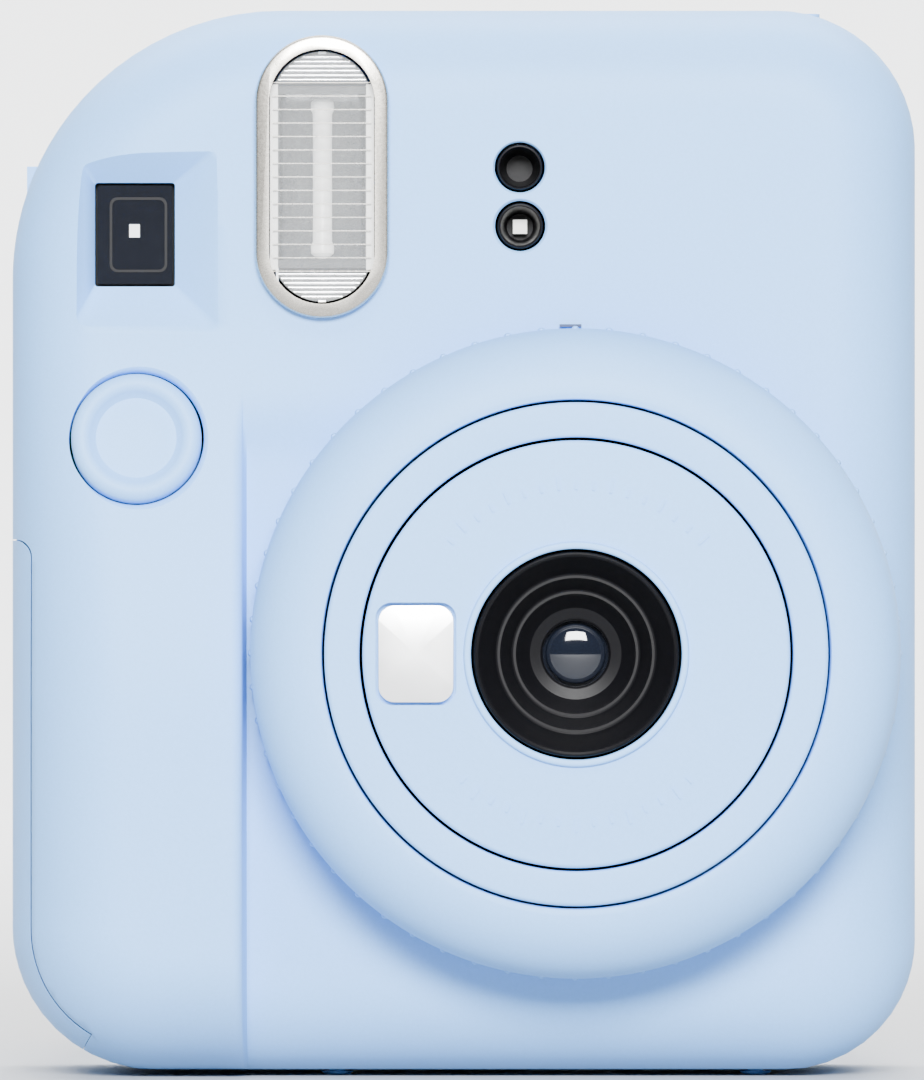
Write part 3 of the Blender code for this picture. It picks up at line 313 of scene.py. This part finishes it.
def edge_distance(x, z):
    for centre_x, centre_z, radius, side_x, side_z in CORNERS:
        if (x - centre_x) * side_x > 0 and (z - centre_z) * side_z > 0:
            return radius - math.hypot(x - centre_x, z - centre_z)
    return min(x - LEFT, RIGHT - x, z - BOTTOM, TOP - z)


def outline_x(z, side, inset):
    for centre_x, centre_z, radius, corner_side, side_z in CORNERS:
        if corner_side == side and (z - centre_z) * side_z > 0:
            reach = max((radius - inset) ** 2 - (z - centre_z) ** 2, 0.0)
            return centre_x + side * math.sqrt(reach)
    return (RIGHT if side > 0 else LEFT) - side * inset


def grip_rise(x, z):
    rise = GRIP_RISE * smooth((GRIP_TOP_Z - z) / (GRIP_TOP_Z - GRIP_FULL_Z))
    if x <= GRIP_EDGE_X:
        short = max(0.0, x - (GRIP_EDGE_X - GRIP_ROUND))
        rounding = GRIP_ROUND - math.sqrt(max(GRIP_ROUND ** 2 - short ** 2, 0.0))
        hard = 1 - smooth((z - GRIP_FADE_Z[0]) / (GRIP_FADE_Z[1] - GRIP_FADE_Z[0]))
        return rise - min(rounding, rise) * hard
    above = smooth((z - GRIP_FADE_Z[0]) / (GRIP_FADE_Z[1] - GRIP_FADE_Z[0]))
    return rise * above * smooth(1 - (x - GRIP_EDGE_X) / GRIP_SIDE_FADE)


def rolled_edge(distance, reach, depth):
    roll = max(0.0, 1 - distance / reach)
    crown = max(0.0, 1 - distance / CROWN_REACH)
    return depth * (1 - math.sqrt(max(0.0, 1 - roll * roll))) + CROWN * crown * crown


def front_y(x, z, inset):
    distance = max(edge_distance(x, z) - inset, 0.0)
    rise = grip_rise(x + inset, z)
    reach = FRONT_REACH - inset + GRIP_EXTRA_REACH * rise / GRIP_RISE
    return FACE_Y + inset - rise + rolled_edge(distance, reach, FRONT_DEPTH - inset + rise)


def back_y(x, z, inset):
    distance = max(edge_distance(x, z) - inset, 0.0)
    return BACK_Y - inset - rolled_edge(distance, BACK_REACH - inset, BACK_DEPTH - inset)


def half_body(surface, joint_y, inset, step):
    """Solid between the front or back surface and the plane where the halves meet."""
    low, high = BOTTOM + inset, TOP - inset
    bends = (BOTTOM + 16.5, TOP - 31.0)
    rows = spaced(low, bends[0], step) + spaced(*bends, step) + spaced(bends[1], high, step) + [high]
    span = RIGHT - LEFT
    left_count, right_count = max(6, round(30 / step)), max(8, round(0.74 * span / step))
    loops = []
    for z in rows:
        left, right = outline_x(z, -1, inset), outline_x(z, 1, inset)
        edge = max(GRIP_EDGE_X - inset, left + GRIP_STEP)
        near = max(left + (edge - left) * 0.6, edge - GRIP_ROUND)
        columns = [left + (near - left) * (1 - math.cos(math.pi / 2 * i / left_count))
                   for i in range(left_count)]
        columns += [near + (edge - near) * math.sin(math.pi / 2 * i / 6) for i in range(7)]
        beyond = edge + GRIP_STEP
        columns += [beyond] + [right + (beyond - right) * (1 - math.cos(math.pi / 2 * i / right_count))
                               for i in range(right_count)][::-1]
        loop = [(columns[0], joint_y, z)] + [(x, surface(x, z, inset), z) for x in columns]
        loops.append(loop + [(columns[-1], joint_y, z)])
    return loft(loops)


def front_hollow():
    hollow = make_object("hollow", half_body(front_y, PARTING_Y + WALL, WALL, INNER))
    left, right, low, high = FINDER_MOUTH
    apply_boolean(hollow, box((left - 2.6, -17.0, low - 0.8), (right + WALL, -9.0, high + WALL)))
    return hollow


def back_hollow():
    return make_object("hollow", half_body(back_y, PARTING_Y - WALL, WALL, INNER))


def shape_of(obj):
    """The (points, faces) of a helper in millimetres; the helper is removed."""
    points = [tuple(vertex.co / MM) for vertex in obj.data.vertices]
    faces = [tuple(polygon.vertices) for polygon in obj.data.polygons]
    mesh = obj.data
    bpy.data.objects.remove(obj)
    bpy.data.meshes.remove(mesh)
    return points, faces


# ---------------------------------------------------------------- dressing

def dress(obj, finish, body, *nodes, sharp=32):
    obj.data.materials.clear()
    obj.data.materials.append(MATERIALS[finish])
    obj.data.shade_smooth()
    obj.data.set_sharp_from_angle(angle=math.radians(sharp))
    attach(obj, body)
    if nodes:
        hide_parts(*nodes)
    return obj


def put(name, shape, finish, body, *nodes, sharp=32):
    return dress(make_object(name, shape), finish, body, *nodes, sharp=sharp)


def hinge_relief(obj, centre, low, high, clearance=GAP):
    apply_boolean(obj, cylinder("Z", centre, KNUCKLE_RADIUS + clearance, low, high, 48))


def hinge_knuckles(obj, centre, toward, reach, spans):
    angle = math.degrees(math.atan2(toward[1], toward[0]))
    side = Vector((-toward[1], toward[0])).normalized() * 0.55
    ahead = Vector(toward).normalized() * reach
    outline = arc(centre, KNUCKLE_RADIUS, angle + 90, angle + 270, 24)
    outline += [(centre[0] + ahead.x - side.x, centre[1] + ahead.y - side.y)]
    outline += [(centre[0] + ahead.x + side.x, centre[1] + ahead.y + side.y)]
    for low, high in spans:
        apply_boolean(obj, prism(outline, "Z", low, high), "UNION")
    bore = cylinder("Z", centre, PIN_RADIUS + GAP, spans[0][0] - 1.0, spans[-1][1] + 1.0, 32)
    apply_boolean(obj, bore)


# ---------------------------------------------------------------- casings

def battery_seam(margin):
    inset, top = SEAM_INSET + margin, BATTERY_TOP + margin
    corner_x, corner_z, radius = CORNERS[2][:3]
    end = math.degrees(math.acos((BATTERY_END_X + margin - corner_x) / (radius - inset)))
    bend = 2.0
    outline = [(LEFT - 3, top), (LEFT + inset - bend, top)]
    outline += arc((LEFT + inset - bend, top - bend), bend, 80, 0, 14)
    outline += arc((corner_x, corner_z), radius - inset, 180, 360 - end, 28)
    outline += arc((corner_x, corner_z), radius + 3, 360 - end, 180, 28)
    return prism(outline, "Y", -40.0, PARTING_Y + 5.0)


def finder_recess():
    """Funnel from a softly rounded mouth down to the finder's window."""
    left, right, low, high = FINDER_MOUTH
    middle = ((left + right) / 2, (low + high) / 2)
    size = (right - left, high - low)
    window = (FINDER_WINDOW[0] + 2 * GAP, FINDER_WINDOW[1] + 2 * GAP)
    loops = []
    top_y, floor_y = FACE_Y - 0.5, FINDER_FLOOR_Y
    for grown, y in ((1.8, -16.4), (0.7, -15.3), (0.2, -14.95), (0.0, -14.6), (0.0, -12.6), (0.0, floor_y)):
        deep = min(max((y - top_y) / (floor_y - top_y), 0.0), 1.0)
        opening = [s * (1 - deep) + w * deep + grown for s, w in zip(size, window)]
        centre = [m * (1 - deep) + f * deep for m, f in zip(middle, FINDER)]
        corner = 1.0 - 0.65 * deep + grown / 3
        loops.append([along("Y", p, y) for p in rounded_rectangle(centre, opening, corner)])
    loops.append([along("Y", p, -6.0) for p in rounded_rectangle(FINDER, window, 0.35)])
    return loft(loops)


def tilted(shape):
    """A shape built along Y at the shutter button, leaned back to lie on the grip."""
    cosine, sine = math.cos(BUTTON_TILT), math.sin(BUTTON_TILT)
    middle_y = front_y(*BUTTON, 0.0)
    points = []
    for x, y, z in shape[0]:
        dy, dz = y, z - BUTTON[1]
        points.append((x, middle_y + dy * cosine + dz * sine, BUTTON[1] - dy * sine + dz * cosine))
    return points, shape[1]


def front_cover():
    cover = make_object("front_shell", half_body(front_y, PARTING_Y - GAP / 2, 0.0, FINE))
    apply_boolean(cover, cylinder("Y", LENS, PEDESTAL_RADIUS, PEDESTAL_Y, -6.0, ROUND), "UNION")
    seat = stadium(FLASH, (FLASH_SIZE[0] - GAP, FLASH_SIZE[1] - GAP))
    apply_boolean(cover, prism(seat, "Y", FLASH_SEAT_Y, -9.0), "UNION")
    apply_boolean(cover, shape_of(front_hollow()))
    apply_boolean(cover, cylinder("Y", LENS, 30.4, -22.0, -9.0, ROUND))
    apply_boolean(cover, prism(stadium(FLASH, (13.6, 30.6)), "Y", -22.0, -5.0))
    apply_boolean(cover, finder_recess())
    for place in SENSORS.values():
        flared = [(0.0, -20.0), (3.4, -20.0), (3.4, -15.2), (3.1, -14.95), (2.88, -14.6), (2.88, -9.0)]
        apply_boolean(cover, turned(flared + [(0.0, -9.0)], "Y", place, 64))
    hole = BUTTON_RADIUS + GAP
    flared = [(0.0, -8.0), (hole + 1.0, -8.0), (hole + 1.0, -0.5), (hole + 0.25, 0.05)]
    flared += [(hole, 0.5), (hole, 8.0), (0.0, 8.0)]
    apply_boolean(cover, tilted(turned(flared, "Y", BUTTON, 96)))
    apply_boolean(cover, battery_seam(SEAM_SHOWN / 2))
    for start, end in LUG_X.values():
        apply_boolean(cover, box((start - 3, *LUG_LOW), (end + 3, *LUG_HIGH)))
    for x in FOOT_X:
        apply_boolean(cover, cylinder("Z", (x, FOOT_Y[0]), FOOT_STEM + GAP, -1.0, 4.0, 32))
    dress(cover, "blue", "camera_body", "front_cover")
    # Index line above the lens ring; its navy colour is painted shade of the crevice between the ring and the
    # face.
    put("index_mark_gap_shade", box((10.95, -15.75, 86.05), (13.45, -14.6, 86.35)), "navy", "camera_body")


def battery_door():
    door = make_object("battery_door_shell", half_body(front_y, PARTING_Y - GAP / 2, 0.0, FINE))
    apply_boolean(door, shape_of(front_hollow()))
    apply_boolean(door, battery_seam(-SEAM_SHOWN / 2), "INTERSECT")
    hinge_relief(door, BATTERY_HINGE, BOTTOM - 2, 70.0, 2 * GAP)
    hinge_knuckles(door, BATTERY_HINGE, (0.0, -1.0), 3.6, KNUCKLES["battery"]["door"])
    dress(door, "blue", "battery_cover", "battery_door")


def door_panel(margin):
    centre = ((DOOR_X + 70.0) / 2, (DOOR_Z[0] + DOOR_Z[1]) / 2)
    size = (70.0 - DOOR_X + 2 * margin, DOOR_Z[1] - DOOR_Z[0] + 2 * margin)
    return prism(rounded_rectangle(centre, size, 4.0 + margin), "Y", DOOR_Y - margin, BACK_Y + 5.0)


def rear_cover():
    cover = make_object("rear_shell", half_body(back_y, PARTING_Y + GAP / 2, 0.0, FINE))
    apply_boolean(cover, shape_of(back_hollow()))
    apply_boolean(cover, door_panel(GAP / 2))
    eyepiece = rounded_rectangle(FINDER, (13.6, 16.2), 2.6)
    apply_boolean(cover, prism(eyepiece, "Y", 24.0, BACK_Y + 4.0))
    slot = rounded_rectangle((LENS[0], NIP_Y), [side + 2 * GAP for side in EXIT_SIZE], 1.8)
    apply_boolean(cover, prism(slot, "Z", TOP - 6.0, TOP + 2.0))
    apply_boolean(cover, cylinder("Y", COUNTER, 3.7, 24.0, BACK_Y + 2.0))
    hinge_relief(cover, DOOR_HINGE, DOOR_Z[0] - 1, DOOR_Z[1] + 1)
    hinge_knuckles(cover, DOOR_HINGE, (-0.1, -1.0), 3.0, KNUCKLES["film"]["cover"])
    hinge_relief(cover, BATTERY_HINGE, 21.0, 58.0)
    hinge_knuckles(cover, BATTERY_HINGE, (0.0, 1.0), 3.6, KNUCKLES["battery"]["cover"])
    for x in FOOT_X:
        apply_boolean(cover, cylinder("Z", (x, FOOT_Y[1]), FOOT_STEM + GAP, -1.0, 4.0, 32))
    dress(cover, "blue", "camera_body", "rear_cover")


def film_door():
    door = make_object("film_door_shell", half_body(back_y, PARTING_Y + GAP / 2, 0.0, FINE))
    apply_boolean(door, shape_of(back_hollow()))
    apply_boolean(door, door_panel(-GAP / 2), "INTERSECT")
    apply_boolean(door, prism(rounded_rectangle(PACK_WINDOW, (5.6, 20.6), 1.5), "Y", 24.0, BACK_Y + 2.0))
    x, z = LATCH
    apply_boolean(door, box((x - 2.0, 24.0, z - 7.0), (x + 2.0, 40.0, z + 5.0)))
    hinge_relief(door, DOOR_HINGE, BOTTOM, TOP)
    hinge_knuckles(door, DOOR_HINGE, (-1.0, 0.75), 2.6, KNUCKLES["film"]["door"])
    dress(door, "blue", "film_door", "film_door")


# ---------------------------------------------------------------- lens unit

def lens_ring():
    roll = RING_RADIUS - 0.1 - 29.3
    centre = (29.3, RING_FRONT_Y + roll)
    outside = [(RING_BORE, RING_FRONT_Y + 0.4), (RING_BORE + 0.12, RING_FRONT_Y + 0.12)]
    outside += [*arc(centre, roll, -90, 0, 36), (RING_RADIUS, -20.4), (RING_RADIUS, -17.4)]
    outside += [(RING_RADIUS - 0.15, -16.9), (RING_RADIUS - 0.5, PEDESTAL_Y - GAP)]
    inside = [(RING_RADIUS - 2.0, PEDESTAL_Y - GAP), *arc(centre, roll - 2.0, 0, -80, 12)]
    sleeve = [(30.1, -29.0), (30.1, -8.0), (RING_BORE, -8.0)]
    shell = turned(outside + inside + sleeve, "Y", LENS, BARREL_ROUND)
    put("lens_ring_shell", shell, "blue", "lens_ring", "lens_ring")
    for number in range(NUB_COUNT):
        angle = 2 * math.pi * number / NUB_COUNT
        x, z = LENS[0] + NUB_CIRCLE * math.cos(angle), LENS[1] + NUB_CIRCLE * math.sin(angle)
        nub = [(0.0, -19.9), (0.3, -19.8), (0.46, -19.3), (0.46, -17.6), (0.3, -17.2), (0.0, -17.1)]
        put(f"ring_nub_{number:02d}", turned(nub, "Y", (x, z), 14), "blue", "lens_ring")


def outer_barrel():
    front, rear, radius, bore = -32.4, -2.0, 28.45, 24.5
    profile = [(bore, front + 0.5), *arc((bore + 0.4, front + 0.4), 0.4, 180, 270, 6)]
    profile += [*arc((radius - 0.5, front + 0.5), 0.5, 270, 360, 8), (radius, rear), (radius - 2.0, rear)]
    profile += [(radius - 2.0, front + 4.0), (bore, front + 4.0)]
    shell = turned(profile, "Y", LENS, BARREL_ROUND)
    put("outer_barrel_shell", shell, "blue", "outer_barrel", "outer_barrel")


def inner_barrel():
    front, radius, bore, lip = -32.7, 24.15, 11.9, 12.7
    profile = [(bore, front - 0.1), *arc((bore + 0.3, LENS_FRONT_Y + 0.3), 0.3, 180, 270, 6)]
    profile += [*arc((lip - 0.3, LENS_FRONT_Y + 0.3), 0.3, 270, 360, 6), (lip + 0.05, front)]
    profile += [*arc((radius - 0.5, front + 0.5), 0.5, 270, 360, 8), (radius, -11.0), (radius - 1.8, -11.0)]
    profile += [(radius - 1.8, front + 2.0), (bore, front + 2.0)]
    barrel = make_object("inner_barrel_shell", turned(profile, "Y", LENS, BARREL_ROUND))
    seat = rounded_rectangle(MIRROR, [side + 2 * GAP for side in MIRROR_SIZE], MIRROR_CORNER)
    apply_boolean(barrel, prism(seat, "Y", front - 1.0, front + 1.0))
    dress(barrel, "blue", "inner_barrel", "inner_barrel")
    for number, angle in enumerate([*range(42, 139, 6), *range(228, 313, 6)]):
        tall = 1.5 if number % 3 == 0 else 0.9
        bar = [(0.0, -0.16), (tall, -0.16), (tall, 0.16), (0.0, 0.16)]
        turn = math.radians(angle)
        outline = [(LENS[0] + (TICK_CIRCLE + a) * math.cos(turn) - b * math.sin(turn),
                    LENS[1] + (TICK_CIRCLE + a) * math.sin(turn) + b * math.cos(turn)) for a, b in bar]
        put(f"face_tick_{number:02d}", prism(outline, "Y", front - 0.14, front + 0.2), "blue", "inner_barrel")


def selfie_mirror():
    """A pane with a shallow spherical dome."""
    edge = rounded_rectangle(MIRROR, [side - 0.1 for side in MIRROR_SIZE], MIRROR_CORNER, 12)
    loops = [[along("Y", p, -32.1) for p in rounded_rectangle(MIRROR, MIRROR_SIZE, MIRROR_CORNER, 12)]]
    for scale in (1.0, 0.97, 0.9, 0.8, 0.7, 0.6, 0.5, 0.4, 0.3, 0.2, 0.1, 0.03):
        loop = []
        for x, z in edge:
            dx, dz = (x - MIRROR[0]) * scale, (z - MIRROR[1]) * scale
            loop.append((MIRROR[0] + dx, -33.05 + 0.0095 * (dx * dx + dz * dz), MIRROR[1] + dz))
        loops.append(loop)
    put("mirror_dome", loft(loops), "mirror", "inner_barrel", "selfie_mirror", sharp=60)


def lens_optics():
    steps = [(11.6, -32.6), (11.5, -32.85), (11.3, -32.95), (11.05, -32.8), (9.1, -29.3), (8.9, -29.2)]
    steps += [(8.6, -29.2), (8.3, -28.6), (7.3, -26.7), (7.1, -26.6), (6.8, -26.6), (6.5, -26.0)]
    steps += [(5.2, -24.6), (4.0, -24.25), (3.75, -23.9), (3.75, -23.0), (5.6, -23.0)]
    steps += [(5.6, -20.5), (11.6, -20.5)]
    put("funnel", turned(steps, "Y", LENS, 160), "black", "inner_barrel", "lens_hood", sharp=24)
    dome = [(3.4 * math.sin(math.radians(a)), -24.4 + 0.8 * (1 - math.cos(math.radians(a))))
            for a in range(0, 91, 6)]
    dome += [(3.4, -22.7), (5.25, -22.7), (5.25, -21.2), (0.0, -21.2)]
    put("front_optic", turned(dome, "Y", LENS, 96), "optic", "inner_barrel", "front_lens_element",
        sharp=40)


# ---------------------------------------------------------------- front fittings

def flash_slab(size, start, end, steps=28):
    return prism(stadium(FLASH, size, steps), "Y", start, end)


def flash_unit():
    seat = FLASH_SEAT_Y - GAP
    inner = [side - 2 * FLASH_RIM for side in FLASH_SIZE]
    loops = []
    levels = ((0.0, seat), (0.0, FLASH_FRONT_Y + 0.5), (-0.3, FLASH_FRONT_Y + 0.1), (-0.8, FLASH_FRONT_Y))
    for grown, y in levels:
        loops.append([along("Y", p, y) for p in stadium(FLASH, [side + grown for side in FLASH_SIZE])])
    bezel = make_object("flash_rim", loft(loops))
    apply_boolean(bezel, flash_slab((13.0, 30.0), seat - 0.4, -11.2), "UNION")
    apply_boolean(bezel, flash_slab(inner, -20.0, -8.0))
    dress(bezel, "nickel", "camera_body", "flash_bezel")
    lens_front, clear = FLASH_FRONT_Y + 0.35, [side - 2 * GAP for side in inner]
    put("flash_window", flash_slab(clear, lens_front, -15.0), "clear", "camera_body", "flash_lens")
    half_w, half_h = clear[0] / 2, clear[1] / 2
    for row in range(-7, 8):
        z = FLASH[1] + row * FLASH_LINE_PITCH
        line = box((FLASH[0] - half_w + 0.1, -14.98, z - 0.06), (FLASH[0] + half_w - 0.1, -14.84, z + 0.06))
        put(f"flash_line_{row + 7:02d}", line, "nickel", "camera_body")
    for side in (-1, 1):
        cap = [p for p in stadium(FLASH, clear) if (p[1] - FLASH[1]) * side > half_h - half_w + 2.6]
        put(f"flash_cap_{side + 1}", prism(cap, "Y", -14.6, -14.2), "chrome", "camera_body")
        for rib in range(7):
            z = FLASH[1] + side * (11.1 + FLASH_RIB_PITCH * rib)
            beyond = max(abs(z - FLASH[1]) - (half_h - half_w), 0.0)
            reach = math.sqrt(max(half_w ** 2 - beyond ** 2, 0.3)) - 0.15
            rod = cylinder("X", (-14.68, z), 0.16, FLASH[0] - reach, FLASH[0] + reach, 16)
            put(f"flash_rib_{side + 1}_{rib}", rod, "chrome", "camera_body")
        x = FLASH[0] + side * 5.5
        band = box((x - 0.45, -14.62, FLASH[1] - 10.6), (x + 0.45, -14.3, FLASH[1] + 10.6))
        put(f"flash_band_{side + 1}", band, "white", "camera_body")


def flash_reflector():
    half_w, half_h = REFLECTOR[0] / 2, REFLECTOR[1] / 2
    shell = make_object("flash_mirror", box((FLASH[0] - half_w, -14.6, FLASH[1] - half_h),
                                            (FLASH[0] + half_w, -5.6, FLASH[1] + half_h)))
    trough = [(FLASH[0] + 4.9 * math.cos(math.radians(a)), -14.7 + 8.2 * math.sin(math.radians(a)))
              for a in range(0, 181, 4)]
    mouth = [(FLASH[0] - 4.9, -16.0), (FLASH[0] + 4.9, -16.0)]
    apply_boolean(shell, prism(trough + mouth, "Z", FLASH[1] - half_h + 0.9, FLASH[1] + half_h - 0.9))
    dress(shell, "chrome", "camera_body", "flash_reflector")
    low, high = FLASH[1] - half_h + 1.4, FLASH[1] + half_h - 1.4
    tube = [(0.0, low), (0.9, low), (1.3, low + 0.35), (1.35, low + 1.2), (1.1, low + 1.7), (1.1, high - 1.7)]
    tube += [(1.35, high - 1.2), (1.3, high - 0.35), (0.9, high), (0.0, high)]
    put("flash_lamp", turned(tube, "Z", (FLASH[0], -10.6), 48), "white", "camera_body", "flash_tube")


def viewfinder_window():
    outline = rounded_rectangle(FINDER, FINDER_WINDOW, 0.3)
    put("finder_glass", prism(outline, "Y", -10.4, -9.4), "gloss_black", "camera_body", "viewfinder_window")
    x, z = FINDER
    outer, inner = (rounded_rectangle((x + 0.4, z), size, corner)
                    for size, corner in (((6.6, 8.6), 0.9), ((6.0, 8.0), 0.7)))
    frame = make_object("finder_frame", prism(outer, "Y", -10.47, -10.3))
    apply_boolean(frame, prism(inner, "Y", -10.8, -10.0))
    dress(frame, "black", "camera_body")
    # White patch on the front of the finder glass: a painted highlight.
    highlight_patch = box((x - 0.65, -10.46, z - 0.3), (x + 0.55, -10.3, z + 1.2))
    put("finder_painted_highlight", highlight_patch, "white", "camera_body")


def light_sensors():
    for name, place in SENSORS.items():
        cup = [(2.6, -14.75), (2.6, -8.5), (0.0, -8.5), (0.0, -9.6), (1.5, -9.6), (2.2, -14.5)]
        cup += [(2.25, -14.85), (2.35, -15.0), (2.5, -14.95)]
        put(name + "_shell", turned(cup, "Y", place, 72), "black", "camera_body", name)


def shutter_button():
    rim = arc((6.2, 0.35), 1.2, 0, -150, 18)
    dish = [(4.6 - 0.2 * i, 0.25 + 0.12 * smooth(i / 12)) for i in range(12)]
    profile = [(BUTTON_RADIUS, 3.4)] + [(BUTTON_RADIUS, 0.4)] + rim + dish + [(0.0, 0.37), (0.0, 1.6)]
    profile += [(BUTTON_RADIUS - 1.4, 1.6), (BUTTON_RADIUS - 1.4, 3.4)]
    cap = make_object("button_cap", tilted(turned(profile, "Y", BUTTON, 128)))
    apply_boolean(cap, tilted(cylinder("Y", BUTTON, 1.6, 1.0, 4.6, 40)), "UNION")
    dress(cap, "blue", "shutter_button", "shutter_button")


# ---------------------------------------------------------------- carried-over nodes

CARRIED = {
    "blue": ("film_door_latch", "film_exit_bezel", "strap_lug_left", "strap_lug_right", "foot_front_left",
             "foot_front_right", "foot_rear_left", "foot_rear_right"),
    "black": ("lens_mount", "dark_box", "chassis", "viewfinder_tube", "eyepiece_frame", "shutter_housing"),
    "grey": ("shutter_base", "battery_holder", "flash_capacitor", "shutter_switch"),
    "white": ("light_sensor", "idler_gear", "motor_pinion", "frame_counter_dial"),
    "nickel": ("battery_contact_bridge",),
    "steel": ("shutter_blade_left", "shutter_blade_right", "shutter_button_spring", "feed_roller_front",
              "feed_roller_rear", "roller_bracket_left", "roller_bracket_right", "drive_motor", "film_pick",
              "pressure_spring", "film_door_hinge_pin", "battery_door_hinge_pin"),
    "clear": ("eyepiece_lens", "rear_lens_element", "counter_window", "pack_window"),
    "board": ("main_board",),
    "cell": ("battery_front", "battery_rear"),
}
SOFTENED = {"film_door_latch": 0.5, "film_exit_bezel": 0.35, "eyepiece_frame": 0.8, "strap_lug_left": 0.3,
            "strap_lug_right": 0.3, "battery_holder": 0.3, "chassis": 0.3}


def dress_carried(nodes):
    for finish, names in CARRIED.items():
        for name in names:
            node = nodes[name]
            node.data.materials.clear()
            node.data.materials.append(MATERIALS[finish])
            if name in SOFTENED:
                bevel = node.modifiers.new("edge", "BEVEL")
                bevel.width = SOFTENED[name] * MM
                bevel.segments = 3
                bevel.limit_method = "ANGLE"
                bevel.angle_limit = math.radians(40)


def latch_ridges():
    x, z = LATCH
    for number in range(5):
        height = z + 0.3 + (number - 2) * 1.7
        outline = rounded_rectangle((x, height), (4.6, 0.6), 0.28, 4)
        put(f"latch_ridge_{number}", prism(outline, "Y", BACK_Y + 1.7, BACK_Y + 2.2), "blue", "door_latch")


# ---------------------------------------------------------------- stage

def stage():
    bend_y, bend = SWEEP_BEND_Y, SWEEP_BEND
    sweep = [(SWEEP_START, 0.0), (bend_y, 0.0)]
    for angle in range(6, 91, 6):
        turn = math.radians(angle)
        sweep.append((bend_y + bend * math.sin(turn), bend - bend * math.cos(turn)))
    sweep.append((bend_y + bend, SWEEP_HEIGHT))
    points = [(x, y, z) for x in (-SWEEP_HALF_WIDTH, SWEEP_HALF_WIDTH) for y, z in sweep]
    count = len(sweep)
    mesh = bpy.data.meshes.new("sweep")
    mesh.from_pydata(points, [], [(i, i + count, i + count + 1, i + 1) for i in range(count - 1)])
    mesh.shade_smooth()
    floor = bpy.data.objects.new("sweep", mesh)
    paper = node_material("sweep_white", SWEEP_COLOUR, 0.8, grain=20, shade=0.005, bump=0.0)
    mesh.materials.append(paper)
    bpy.context.scene.collection.objects.link(floor)


def add_light(name, place, size, power, aim):
    light = bpy.data.lights.new(name, "AREA")
    light.shape = "RECTANGLE"
    light.size, light.size_y = size
    light.energy = power
    obj = bpy.data.objects.new(name, light)
    obj.location = place
    obj.rotation_euler = (Vector(aim) - Vector(place)).to_track_quat("-Z", "Y").to_euler()
    bpy.context.scene.collection.objects.link(obj)


def lights_and_camera():
    for name, (place, size, power, aim) in LIGHTS.items():
        add_light(name, place, size, power, aim)
    world = bpy.data.worlds.new("studio")
    world.use_nodes = True
    background = world.node_tree.nodes["Background"]
    background.inputs["Color"].default_value = WORLD_COLOUR
    background.inputs["Strength"].default_value = WORLD_STRENGTH
    bpy.context.scene.world = world
    camera = bpy.data.cameras.new("camera")
    camera.sensor_fit = "VERTICAL"
    camera.sensor_height = SENSOR_HEIGHT
    camera.lens = CAMERA_LENS
    camera.clip_end = 20.0
    obj = bpy.data.objects.new("camera", camera)
    obj.location = CAMERA_PLACE
    obj.rotation_euler = (math.pi / 2, 0.0, 0.0)
    bpy.context.scene.collection.objects.link(obj)
    bpy.context.scene.camera = obj


for leftover_object in list(bpy.data.objects):
    bpy.data.objects.remove(leftover_object)
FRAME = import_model()
MATERIALS = make_materials()
front_cover()
battery_door()
rear_cover()
film_door()
lens_ring()
outer_barrel()
inner_barrel()
selfie_mirror()
lens_optics()
flash_unit()
flash_reflector()
viewfinder_window()
light_sensors()
shutter_button()
dress_carried(FRAME["nodes"])
latch_ridges()
stage()
lights_and_camera()
